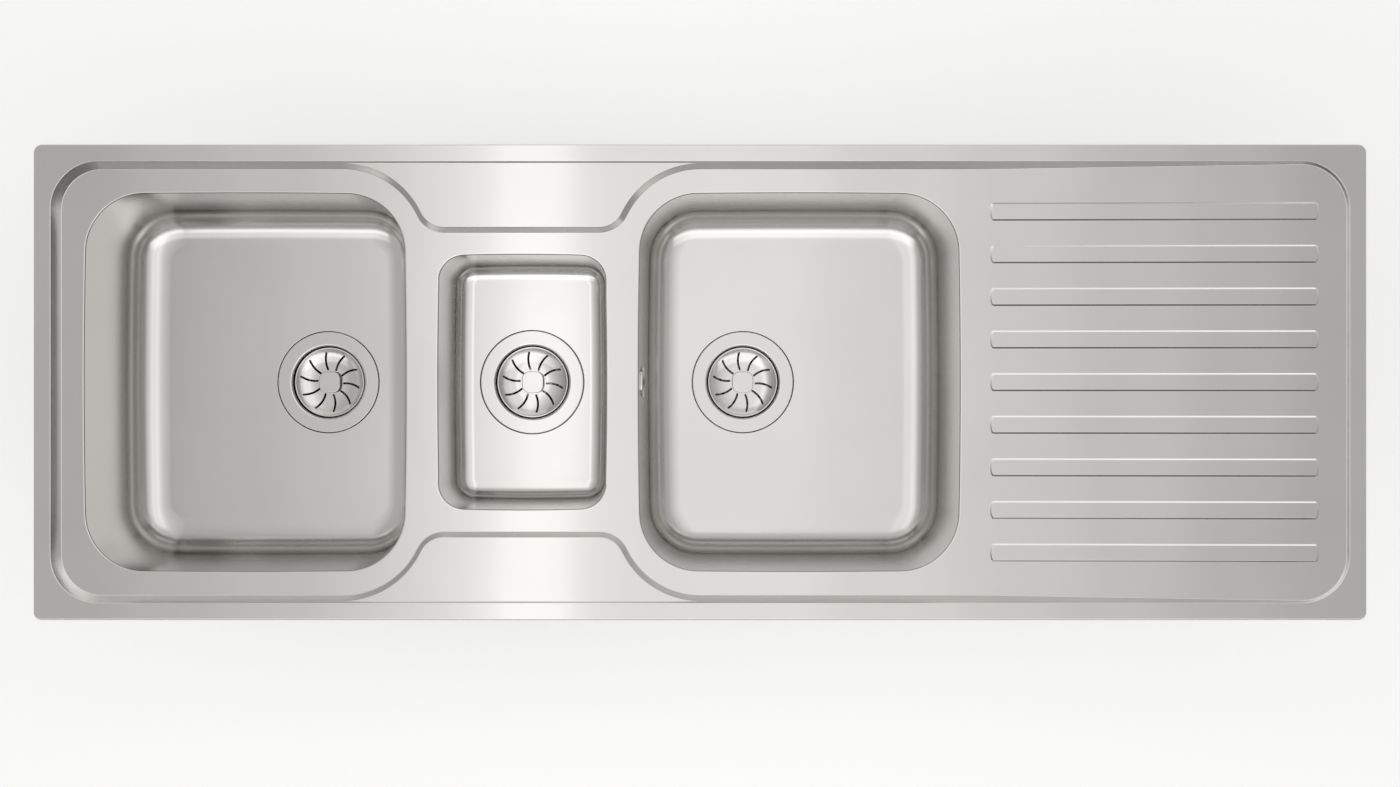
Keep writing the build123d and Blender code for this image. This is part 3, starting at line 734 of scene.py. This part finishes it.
def dish_profile():
    """Upper side of the dish from its rolled lip inwards: radius, height and lean of the normal."""
    centre = (DISH_R - DISH_BEAD_R, -DISH_DROP - DISH_BEAD_R)
    rows = []
    for i in range(11):
        angle = DISH_BEAD_START + (math.pi / 2 + DISH_SLOPE - DISH_BEAD_START) * i / 10
        x = centre[0] + DISH_BEAD_R * math.cos(angle)
        z = centre[1] + DISH_BEAD_R * math.sin(angle)
        rows.append((x, z, math.pi / 2 - angle))
    edge, level = rows[-1][:2]
    rate = DISH_SLOPE / (edge - DISH_FLAT_R)

    def lean(radius):
        return rate * max(radius - DISH_FLAT_R, 0)

    tips = [SLOT_WIDTH / 2 * (1 - math.cos(math.pi * k / 8)) for k in range(5)]
    start, end = SLOT_INNER_R - SLOT_WIDTH / 2, SLOT_OUTER_R + SLOT_WIDTH / 2
    radii = [edge - (edge - end) * i / 3 for i in (1, 2)]
    radii += [end - t for t in tips]
    radii += [end - tips[-1] - (end - start - 2 * tips[-1]) * i / 14 for i in range(1, 14)]
    radii += [start + t for t in reversed(tips)]
    radii += [start - (start - DISH_HOLE_R) * i / 4 for i in range(1, 5)]
    for radius in radii:
        level -= math.tan(lean((edge + radius) / 2)) * (edge - radius)
        edge = radius
        rows.append((radius, level, -lean(radius)))
    return rows


def slot_opening(radius):
    """Half the width of a slot at a radius; 0 beyond its round ends."""
    from_end = min(radius - SLOT_INNER_R, SLOT_OUTER_R - radius) + SLOT_WIDTH / 2
    if from_end <= 1e-7:
        return 0.0
    short = max(SLOT_WIDTH / 2 - from_end, 0)
    return math.sqrt((SLOT_WIDTH / 2) ** 2 - short**2)


def basket_dish(bowl):
    """A basket: a smooth dish with a rolled lip and ten swept slots."""
    made = Surface()
    course = slot_course()
    columns, pitch = 10, 2 * math.pi / SLOT_COUNT
    rows = []
    for radius, height, lean in dish_profile():
        angle, slant = course(radius)
        gap = slot_opening(radius) * slant / radius
        row = []
        for sector in range(SLOT_COUNT):
            for j in range(columns + 1):
                a = angle + sector * pitch + gap + (pitch - 2 * gap) * j / columns
                ways = (math.cos(a), math.sin(a))
                point = (bowl.waste_x + radius * ways[0], radius * ways[1], bowl.floor + height)
                normal = (math.sin(lean) * ways[0], math.sin(lean) * ways[1], math.cos(lean))
                row.append(made.vertex(point, normal))
        rows.append((gap, row))
    count = columns + 1
    for (_, near), (_, far) in zip(rows, rows[1:]):
        for sector in range(SLOT_COUNT):
            for j in range(sector * count, sector * count + columns):
                made.face([near[j], near[j + 1], far[j + 1], far[j]])
    edges = []
    open_rows = [i for i, (gap, _) in enumerate(rows) if gap > 0]
    reach = rows[open_rows[0] - 1 : open_rows[-1] + 2]
    for sector in range(SLOT_COUNT):
        before, after = sector * count - 1, sector * count
        up = [row[before] for _, row in reversed(reach)]
        down = [row[after] for _, row in reach]
        edges.append((up + down[1:-1])[::-1])
    for row, flip in ((rows[0][1], 1), (rows[-1][1], -1)):
        ring = [v for i, v in enumerate(row) if i % count < columns]
        edges.append(ring[::flip])
    made.shell(SHEET, edges)
    return made.mesh(bowl.name + "_dish_shape")


def basket_seal(bowl):
    """The rubber ring under a basket's dish, which closes on the shoulder of the cup."""
    made = Surface()
    inner, outer = SEAL_R
    radii, heights = zip(*sorted((r, z - SEAL_DROP) for r, z, _ in dish_profile()))
    tops = np.interp(SEAL_R, radii, heights)
    corners = [(inner, -SEAL_END), (outer, -SEAL_END), (outer, tops[1]), (inner, tops[0])]
    for near, far in zip(corners, corners[1:] + corners[:1]):
        run = (far[0] - near[0], far[1] - near[1])
        length = math.hypot(*run)
        rows = []
        for radius, height in (near, far):
            ring = circle(radius).moved(bowl.waste_x)
            normals = lifted(ring.normals * run[1] / length, -run[0] / length)
            rows.append((lifted(ring.points, bowl.floor + height), normals))
        made.grid(rows)
    return made.mesh(bowl.name + "_seal_shape")


def knob(bowl):
    """The square knob of a basket, on the peg that drops into the fixing screw."""
    made = Surface()
    half = KNOB_SIZE / 2
    outline = round_rectangle(half, half, KNOB_CORNER, 0.01, 10).moved(bowl.waste_x)
    top, foot = bowl.floor - KNOB_DROP, bowl.floor + dish_profile()[-1][1]
    arc = [(-o, top + r, t) for o, r, t in edge_arc(0, KNOB_ROUND, 5)]
    rows = []
    for offset, level, turn in [(0, foot, math.pi / 2), *reversed(arc)]:
        rows.append((lifted(outline.at(offset), level), leaning(outline.normals, turn)))
    made.grid(rows)
    made.fill([plan(rows[-1])], level_at(top))
    peg = circle(PEG_R, 32).moved(bowl.waste_x)
    peg_end = bowl.floor - PEG_END
    made.grid([(lifted(peg.points, z), lifted(peg.normals, 0)) for z in (peg_end, foot)])
    first = len(made.faces)
    made.fill([outline.points, peg.points], level_at(foot, -1))
    made.fill([peg.points], level_at(peg_end, -1))
    made.faces[first:] = [face[::-1] for face in made.faces[first:]]
    return made.mesh(bowl.name + "_knob_shape")


# ---------------------------------------------------------------- waste fittings


def strainer_cup(bowl):
    """Flange and cup in one pressing: rolled edge, round mouth, shoulder and pierced base."""
    made = Surface()
    hollow, crown = CUP_BENDS
    bends = [
        (FLANGE_R - FLANGE_EDGE, FLANGE_PROUD - FLANGE_EDGE, FLANGE_EDGE, 0, 1),
        (CUP_R + CUP_MOUTH_ROUND, FLANGE_PROUD - CUP_MOUTH_ROUND, CUP_MOUTH_ROUND, 90, 1),
        (CUP_R - hollow, hollow - CUP_SHOULDER_DEPTH, hollow, 0, -1),
        (CUP_SHOULDER_R + crown, -CUP_SHOULDER_DEPTH - crown, crown, 90, 1),
        (CUP_SHOULDER_R - hollow, hollow - CUP_DEPTH, hollow, 0, -1),
    ]
    profile = [(FLANGE_R, FLANGE_PROUD - FLANGE_LIP, math.pi / 2)]
    for middle, level, radius, start, way in bends:
        for step in range(9):
            angle = math.radians(start + 90 * step / 8)
            lean = math.pi / 2 - angle if way > 0 else angle - math.pi / 2
            x, z = middle + radius * math.cos(angle), level + way * radius * math.sin(angle)
            profile.append((x, z, lean))
    rows = []
    for radius, height, lean in profile:
        ring = circle(radius, CUP_SIDES).moved(bowl.waste_x)
        rows.append((lifted(ring.points, bowl.floor + height), leaning(ring.normals, lean)))
    made.grid(rows)
    holes = [circle(SCREW_HOLE_R, HOLE_SIDES).moved(bowl.waste_x)]
    for index in range(CUP_HOLE_COUNT):
        angle = 2 * math.pi * index / CUP_HOLE_COUNT
        x, y = CUP_HOLE_RING_R * math.cos(angle), CUP_HOLE_RING_R * math.sin(angle)
        holes.append(circle(CUP_HOLE_R, HOLE_SIDES).moved(bowl.waste_x + x, y))
    base = level_at(bowl.floor - CUP_DEPTH)
    made.fill([plan(rows[-1]), *(hole.points for hole in holes)], base)
    edges = [made.loop(rows[0])]
    edges += [[made.vertex(*base(*point)) for point in hole.points][::-1] for hole in holes]
    made.shell(SHEET, edges)
    return made.mesh(bowl.name + "_cup_shape")


def tail_thread(bowl):
    """The coarse thread moulded round the tail of a waste body, which fades in and out."""
    made = Surface()
    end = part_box(bowl.name + "_waste_body")[0].z
    turns = round(THREAD_LENGTH / THREAD_PITCH)
    per_turn = 48
    top = end + THREAD_START + THREAD_PITCH * turns
    # Corners of the thread's profile: place in pitches, share of its height, lean
    profile = [(-0.42, 0, -1), (-0.16, 1, -0.3), (0.16, 1, 0.3), (0.42, 0, 1)]
    lines = []
    for step in range(turns * per_turn + 1):
        angle = 2 * math.pi * step / per_turn
        fade = min(1, 4 * step / per_turn, 4 * (turns * per_turn - step) / per_turn)
        ways = np.array([math.cos(angle), math.sin(angle), 0])
        line = []
        for along, out, lean in profile:
            radius = TAIL_R - THREAD_ROOT + (THREAD_HEIGHT + THREAD_ROOT) * out * fade
            z = top - THREAD_PITCH * (step / per_turn - along)
            point = ways * radius + (bowl.waste_x, 0, z)
            normal = ways + (0, 0, lean)
            line.append(made.vertex(point, normal / np.linalg.norm(normal)))
        lines.append(line)
    for near, far in zip(lines, lines[1:]):
        for i in range(3):
            made.face([near[i], far[i], far[i + 1], near[i + 1]])
    return made.mesh(bowl.name + "_thread_shape")


def hose_line(bowl):
    """The hose's middle line from the overflow box down, in even steps, and its length.

    Each step has its way along the line, its place and its direction, both as (x, z)."""
    low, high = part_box(bowl.name + "_overflow_hose")
    side = 1 if bowl.name == "right" else -1
    start_x = low.x + HOSE_R if side > 0 else high.x - HOSE_R
    run = high.x - low.x - HOSE_R - HOSE_BEND
    level = low.z + HOSE_R
    drop = high.z - level - HOSE_BEND
    turn = HOSE_BEND * math.pi / 2
    total = drop + turn + run
    # Six steps a groove, and a multiple of three since the bore takes every third
    count = 3 * round(total / (HOSE_PITCH / 2))

    def spot(way):
        if way < drop:
            return (start_x, high.z - way), (0, -1)
        if way < drop + turn:
            angle = (way - drop) / HOSE_BEND
            x = start_x + side * HOSE_BEND * (1 - math.cos(angle))
            z = level + HOSE_BEND * (1 - math.sin(angle))
            return (x, z), (side * math.sin(angle), -math.cos(angle))
        return (start_x + side * (HOSE_BEND + way - drop - turn), level), (side, 0)

    return [(total * i / count, *spot(total * i / count)) for i in range(count + 1)], total


def overflow_hose(bowl):
    """A corrugated hose with a plain cuff at each end."""
    made = Surface()
    line, total = hose_line(bowl)
    body = total - 2 * HOSE_CUFF
    waves = 2 * math.pi * round(body / HOSE_PITCH)

    def ring_at(spot, way, radius, lean, side):
        """A ring square to the way the hose runs there, with normals that lean along it."""
        out = np.outer(np.cos(turns), (way[1], 0, -way[0])) + np.outer(np.sin(turns), (0, 1, 0))
        normals = side * out + lean * np.array([way[0], 0, way[1]])
        return out * radius + (spot[0], 0, spot[1]), normals / np.linalg.norm(normals[0])

    turns = np.linspace(0, 2 * math.pi, 32, endpoint=False)
    outer = []
    for along, spot, way in line:
        share = min(max((along - HOSE_CUFF) / body, 0), 1)
        radius = HOSE_R - HOSE_GROOVE * (1 - math.cos(waves * share)) / 2
        lean = HOSE_GROOVE * math.sin(waves * share) / 2 * waves / body
        outer.append(ring_at(spot, way, radius, lean, 1))
    inner = [ring_at(spot, way, PORT_R, 0, -1) for _, spot, way in reversed(line[::3])]
    made.grid(outer)
    made.grid(inner)
    ends = ((inner[-1], outer[0], line[0][2], -1), (outer[-1], inner[0], line[-1][2], 1))
    for near, far, way, side in ends:
        flat = np.tile((side * way[0], 0, side * way[1]), (len(turns), 1))
        made.grid([(near[0], flat), (far[0], flat)])
    return made.mesh(bowl.name + "_hose_shape")


# ---------------------------------------------------------------- materials


class Nodes:
    """Shorthand for making nodes in a tree."""

    def __init__(self, tree):
        self.tree = tree

    def node(self, kind, inputs=(), **settings):
        made = self.tree.nodes.new(kind)
        for key, value in settings.items():
            setattr(made, key, value)
        for key, value in dict(inputs).items():
            if isinstance(value, bpy.types.NodeSocket):
                self.tree.links.new(value, made.inputs[key])
            else:
                made.inputs[key].default_value = value
        return made

    def maths(self, operation, *values):
        return self.node("ShaderNodeMath", dict(enumerate(values)), operation=operation).outputs[0]

    def parts(self, vector):
        return self.node("ShaderNodeSeparateXYZ", {"Vector": vector}).outputs

    def place_in_box(self):
        """Where a point is in the piece's own box, from 0 to 1 each way."""
        return self.parts(self.node("ShaderNodeTexCoord").outputs["Generated"])

    def coordinates(self, scale=(1, 1, 1)):
        place = self.node("ShaderNodeTexCoord").outputs["Object"]
        return self.node("ShaderNodeMapping", {"Vector": place, "Scale": scale}).outputs[0]

    def noise(self, scale, detail=3.0, stretch=(1, 1, 1)):
        inputs = {"Vector": self.coordinates(stretch), "Scale": scale, "Detail": detail}
        return self.node("ShaderNodeTexNoise", inputs).outputs["Fac"]

    def cells(self, scale):
        inputs = {"Vector": self.coordinates(), "Scale": scale}
        return self.node("ShaderNodeTexVoronoi", inputs).outputs["Distance"]

    def ramp(self, value, low, high, start=0.0, end=1.0):
        """Maps a value between two levels to a number between two others."""
        inputs = {"Value": value, "From Min": start, "From Max": end, "To Min": low, "To Max": high}
        return self.node("ShaderNodeMapRange", inputs).outputs["Result"]


class Finish(Nodes):
    """A procedural material: Principled shader with colour, roughness and bump from nodes."""

    def __init__(self, name, metallic=0.0, **sockets):
        self.material = bpy.data.materials.new(name)
        self.material.use_nodes = True
        super().__init__(self.material.node_tree)
        self.shader = self.tree.nodes["Principled BSDF"]
        self.shader.inputs["Metallic"].default_value = metallic
        for socket, value in sockets.items():
            self.shader.inputs[socket.replace("_", " ").title()].default_value = value

    def colours(self, value, low, high):
        """Mixes two colours. The sockets go by number, since a Mix node repeats their names."""
        inputs = {0: value, 6: (*low, 1), 7: (*high, 1)}
        return self.node("ShaderNodeMix", inputs, data_type="RGBA").outputs[2]

    def connect(self, colour, roughness=None):
        self.tree.links.new(colour, self.shader.inputs["Base Color"])
        if roughness is not None:
            self.tree.links.new(roughness, self.shader.inputs["Roughness"])

    def bump(self, height, distance, strength):
        """Adds a bump on top of those before it."""
        normal = self.shader.inputs["Normal"]
        inputs = {"Height": height, "Distance": distance, "Strength": strength}
        if normal.links:
            inputs["Normal"] = normal.links[0].from_socket
        self.tree.links.new(self.node("ShaderNodeBump", inputs).outputs[0], normal)

    def wallness(self):
        """0 on level faces and 1 on steep ones."""
        normal = self.node("ShaderNodeNewGeometry").outputs["Normal"]
        return self.ramp(self.parts(normal)["Z"], 1.0, 0.0, 0.35, 0.97)


def sink_steel(name="sink_steel", painted_shade_level=1.0):
    """Satin pressed sheet: fine lines along the sink on level faces, grain on drawn walls. Painted
    shade makes steep walls a quarter darker, and a level below 1 darkens the whole colour as
    painted shade.
    """
    made = Finish(name, 1.0)
    steep = made.wallness()
    lines = made.noise(260, 4, (0.06, 1, 1))
    grain = made.noise(900, 2)
    cloud = made.ramp(made.noise(6, 3), 0.96, 1.0, 0.35, 0.65)
    # Painted shade: walls a quarter darker than level faces, times a random cloud of tone
    shade = made.maths("MULTIPLY", cloud, made.ramp(steep, painted_shade_level, 0.76 * painted_shade_level))
    rough = made.maths("ADD", made.ramp(steep, 0.17, 0.22), made.ramp(lines, -0.02, 0.02))
    made.connect(made.colours(shade, (0, 0, 0), (0.83, 0.82, 0.795)), rough)
    made.bump(lines, 0.02 * MM, 0.12)
    made.bump(grain, 0.05 * MM, 0.5)
    return made.material


def painted_shade_below(shade, start, end):
    """For fitting_steel: painted shade, a level below one height of the piece's own box, full above
    another.
    """
    return lambda made: made.ramp(made.place_in_box()["Z"], shade, 1, start, end)


def fitting_steel(name="fitting_steel", painted_shade_of=None, painted_edge_shade=1.0):
    """Bright steel; painted_shade_of gives a painted shade as a level for its colour, where 1 is
    full. An edge tint below 1 darkens its grazing reflections as painted shade.
    """
    made = Finish(name, 1.0, specular_tint=(painted_edge_shade, painted_edge_shade, painted_edge_shade, 1))
    lines = made.noise(500, 3)
    shade = made.ramp(lines, 0.94, 1.0)
    if painted_shade_of:
        shade = made.maths("MULTIPLY", shade, painted_shade_of(made))
    rough = made.ramp(lines, 0.14, 0.2, 0.3, 0.7)
    made.connect(made.colours(shade, (0, 0, 0), (0.82, 0.81, 0.79)), rough)
    made.bump(lines, 0.01 * MM, 0.2)
    return made.material


def zinc_plate():
    made = Finish("zinc_plate", 1.0)
    patches = made.cells(160)
    made.connect(
        made.colours(made.ramp(patches, 0, 1, 0, 0.7), (0.50, 0.53, 0.57), (0.66, 0.68, 0.70)),
        made.ramp(made.noise(90), 0.28, 0.45, 0.3, 0.7),
    )
    made.bump(made.noise(300), 0.03 * MM, 0.4)
    return made.material


def rubber():
    made = Finish("rubber")
    fine = made.noise(700, 3)
    colour = made.colours(fine, (0.018, 0.018, 0.019), (0.04, 0.04, 0.042))
    made.connect(colour, made.ramp(fine, 0.5, 0.68))
    made.bump(fine, 0.05 * MM, 0.5)
    return made.material


def foam():
    made = Finish("foam")
    cells = made.cells(650)
    colour = made.colours(cells, (0.03, 0.03, 0.032), (0.11, 0.11, 0.115))
    made.connect(colour, made.ramp(cells, 0.8, 0.95))
    made.bump(cells, 0.3 * MM, 0.8)
    return made.material


def damping_pad():
    made = Finish("damping_pad")
    bosses = made.cells(170)
    fine = made.noise(900, 3)
    colour = made.colours(fine, (0.045, 0.045, 0.048), (0.09, 0.09, 0.094))
    made.connect(colour, made.ramp(fine, 0.55, 0.75))
    made.bump(bosses, 0.6 * MM, 0.6)
    made.bump(fine, 0.1 * MM, 0.5)
    return made.material


def plastic(name, low, high, rough):
    made = Finish(name)
    cloud = made.noise(25, 3)
    fine = made.noise(900, 2)
    made.connect(made.colours(cloud, low, high), made.ramp(fine, rough, rough + 0.1))
    made.bump(fine, 0.04 * MM, 0.4)
    return made.material


FINISHES = {
    "sink_steel": sink_steel(),
    # Painted shade: the rounded mouth edge of each bowl at half colour, a dark line round the mouth
    "sink_edge": sink_steel("sink_edge", 0.5),
    "fitting_steel": fitting_steel(),
    # Painted shadow: the knob's foot darkens to a twentieth, a dark line where it meets the dish,
    # and a dark edge tint shades its sides
    "knob_steel": fitting_steel("knob_steel", painted_shade_below(0.05, 0.79, 0.83), 0.1),
    # Painted shade: a dark steel for the fixing screws, as if in the cup's shade
    "dark_steel": fitting_steel("dark_steel", lambda made: 0.2, 0.3),
    # Painted shade: the cup darkens towards its base, its inside dark as if in shade
    "cup_steel": fitting_steel("cup_steel", painted_shade_below(0.16, 0.82, 0.93)),
    "zinc_plate": zinc_plate(),
    "rubber": rubber(),
    "foam": foam(),
    "damping_pad": damping_pad(),
    "plastic": plastic("plastic", (0.72, 0.72, 0.70), (0.80, 0.80, 0.78), 0.32),
    "hose_plastic": plastic("hose_plastic", (0.60, 0.60, 0.59), (0.68, 0.68, 0.67), 0.4),
}
SLOTS = {part["node"]: part["material_slot"] for part in frame["record"]["subparts"]}

# ---------------------------------------------------------------- the object

top_looks = ["sink_steel", "sink_edge"]
piece("pressed_sink_top", pressed_top(), top_looks, "sink", "sink_steel", "sink_top")
for bowl in BOWLS:
    node = bowl.name + "_bowl"
    piece("drawn_" + node, bowl_shell(bowl), ["sink_steel"], "sink", "sink_steel", node)
    node = bowl.name + "_basket"
    piece("dished_" + node, basket_dish(bowl), ["fitting_steel"], node, "fitting_steel", node)
    knob_node = node + "_knob"
    piece("square_" + knob_node, knob(bowl), ["knob_steel"], node, "fitting_steel", knob_node)
    piece("round_" + node + "_seal", basket_seal(bowl), ["rubber"], node, "rubber", node + "_seal")
    node = bowl.name + "_strainer_cup"
    piece("pressed_" + node, strainer_cup(bowl), ["cup_steel"], "sink", SLOTS[node], node)
    slot = SLOTS[bowl.name + "_waste_body"]
    piece(bowl.name + "_tail_thread", tail_thread(bowl), ["plastic"], "sink", slot)
    if bowl.name != "centre":
        node = bowl.name + "_overflow_hose"
        hose = overflow_hose(bowl)
        piece("corrugated_" + node, hose, ["hose_plastic"], "sink", SLOTS[node], node)

for name, node in frame["nodes"].items():
    # Fixing screws take the painted-shade steel
    finish = "dark_steel" if name.endswith("_fixing_screw") else SLOTS[name]
    node.data.materials.clear()
    node.data.materials.append(FINISHES[finish])


# ---------------------------------------------------------------- stage, lights and camera


CAMERA_HEIGHT = 1.783
FLOOR_HALF = 6.0
# Where the floor's glow fades out round the object: a painted shadow
PAINTED_SHADOW_INSET = 0.08
PAINTED_SHADOW_REACH = 0.12
# The sky's strength overhead, and at the horizon in front and behind
SKY = 0.48
HORIZON = (0.12, 1.25)
HORIZON_TURN = (-0.5, 0.5)
HORIZON_TOP = (0.28, 0.4)


def stage_floor(level, colour, glow):
    """A plain pale floor. The glow lifts it for the camera and in reflections, and lights nothing.

    It fades out under the object and in round its edge: a painted shadow there, over the real
    shadow that the lamps cast."""
    data = bpy.data.meshes.new("floor")
    ways = [(-1, -1), (1, -1), (1, 1), (-1, 1)]
    corners = [(x * FLOOR_HALF, y * FLOOR_HALF, level) for x, y in ways]
    data.from_pydata(corners, [], [(0, 1, 2, 3)])
    made = bpy.data.objects.new("floor", data)
    bpy.context.scene.collection.objects.link(made)
    finish = Finish("floor", roughness=0.9)
    finish.connect(finish.colours(finish.noise(3), colour, [c * 0.98 for c in colour]))
    path = finish.node("ShaderNodeLightPath").outputs
    seen = finish.maths("MAXIMUM", path["Is Camera Ray"], path["Is Glossy Ray"])
    seen = finish.maths("MAXIMUM", seen, path["Is Transmission Ray"])
    lift = finish.maths("MULTIPLY", seen, glow)
    # Painted shadow: the glow fades out towards the object's footprint
    place = finish.parts(finish.coordinates())
    squares = []
    for axis, half in (("X", HALF_LENGTH), ("Y", HALF_WIDTH)):
        past = finish.maths("SUBTRACT", finish.maths("ABSOLUTE", place[axis]), half - PAINTED_SHADOW_INSET)
        past = finish.maths("MAXIMUM", past, 0)
        squares.append(finish.maths("MULTIPLY", past, past))
    far = finish.maths("SQRT", finish.maths("ADD", *squares))
    lift = finish.maths("MULTIPLY", lift, finish.ramp(far, 0, 1, 0, PAINTED_SHADOW_REACH))
    finish.tree.links.new(lift, finish.shader.inputs["Emission Strength"])
    finish.shader.inputs["Emission Color"].default_value = (1, 1, 0.99, 1)
    data.materials.append(finish.material)


def soft_box(name, place, target, size, level):
    """A rectangular lamp facing a point; level is the brightness of its face, where 1 is white."""
    data = bpy.data.lights.new(name, "AREA")
    data.shape = "RECTANGLE"
    data.size, data.size_y = size
    data.energy = level * math.pi * size[0] * size[1]
    made = bpy.data.objects.new(name, data)
    made.location = place
    direction = Vector(target) - Vector(place)
    made.rotation_euler = direction.to_track_quat("-Z", "Y").to_euler()
    made.visible_camera = False
    bpy.context.scene.collection.objects.link(made)


stage_floor(cad_low.z - 0.004, (0.80, 0.80, 0.79), 0.45)
# Lamps overhead: where each one's reflection lies across the sink, its reach along, its level
overhead = [
    ((-0.60, 0.60), (-0.6, 1.1), 0.07),
    ((-0.50, 0.50), (-0.6, 1.1), 0.07),
    ((-0.40, 0.38), (-0.6, 0.65), 0.08),
    ((-0.335, 0.27), (-0.6, 0.65), 0.09),
    ((-0.29, 0.14), (-0.6, 0.65), 0.10),
    ((-0.245, -0.12), (-0.6, 0.65), 0.13),
]
for index, (across, along, level) in enumerate(overhead):
    height = 0.5 + 0.01 * index
    spread = 1 + height / CAMERA_HEIGHT
    low, high = (edge * spread for edge in across)
    x, y = (low + high) / 2, sum(along) / 2
    size = (high - low, along[1] - along[0])
    soft_box("overhead_%d" % index, (x, y, height), (x, y, 0), size, level)
soft_box("near_strip", (-0.205, 0, 0.3), (-0.205, 0, 0), (0.09, 1.2), 0.18)
soft_box("front", (0, -1.11, 1.24), (0, 0.05, 0), (3.6, 1.04), 0.32)
soft_box("front_low", (0, -1.4, 1.07), (0, 0.05, 0), (4.0, 0.41), 0.45)

world = bpy.data.worlds.new("studio")
world.use_nodes = True
sky = Nodes(world.node_tree)
background = world.node_tree.nodes["Background"]
# In a world, generated coordinates are the direction that is looked in
ways = sky.place_in_box()
low_light = sky.ramp(ways["Y"], *HORIZON, *HORIZON_TURN)
low_share = sky.ramp(ways["Z"], 1, 0, *HORIZON_TOP)
level = sky.maths("MULTIPLY_ADD", sky.maths("SUBTRACT", low_light, SKY), low_share, SKY)
world.node_tree.links.new(level, background.inputs["Strength"])
background.inputs["Color"].default_value = (1, 1, 1, 1)
bpy.context.scene.world = world

scene = bpy.context.scene
scene.view_settings.view_transform = "Standard"
camera_data = bpy.data.cameras.new("camera")
camera_data.lens = 43.57
camera_data.sensor_width = 36
camera_data.shift_y = -0.0081
camera = bpy.data.objects.new("camera", camera_data)
camera.location = (0, 0, CAMERA_HEIGHT)
scene.collection.objects.link(camera)
scene.camera = camera
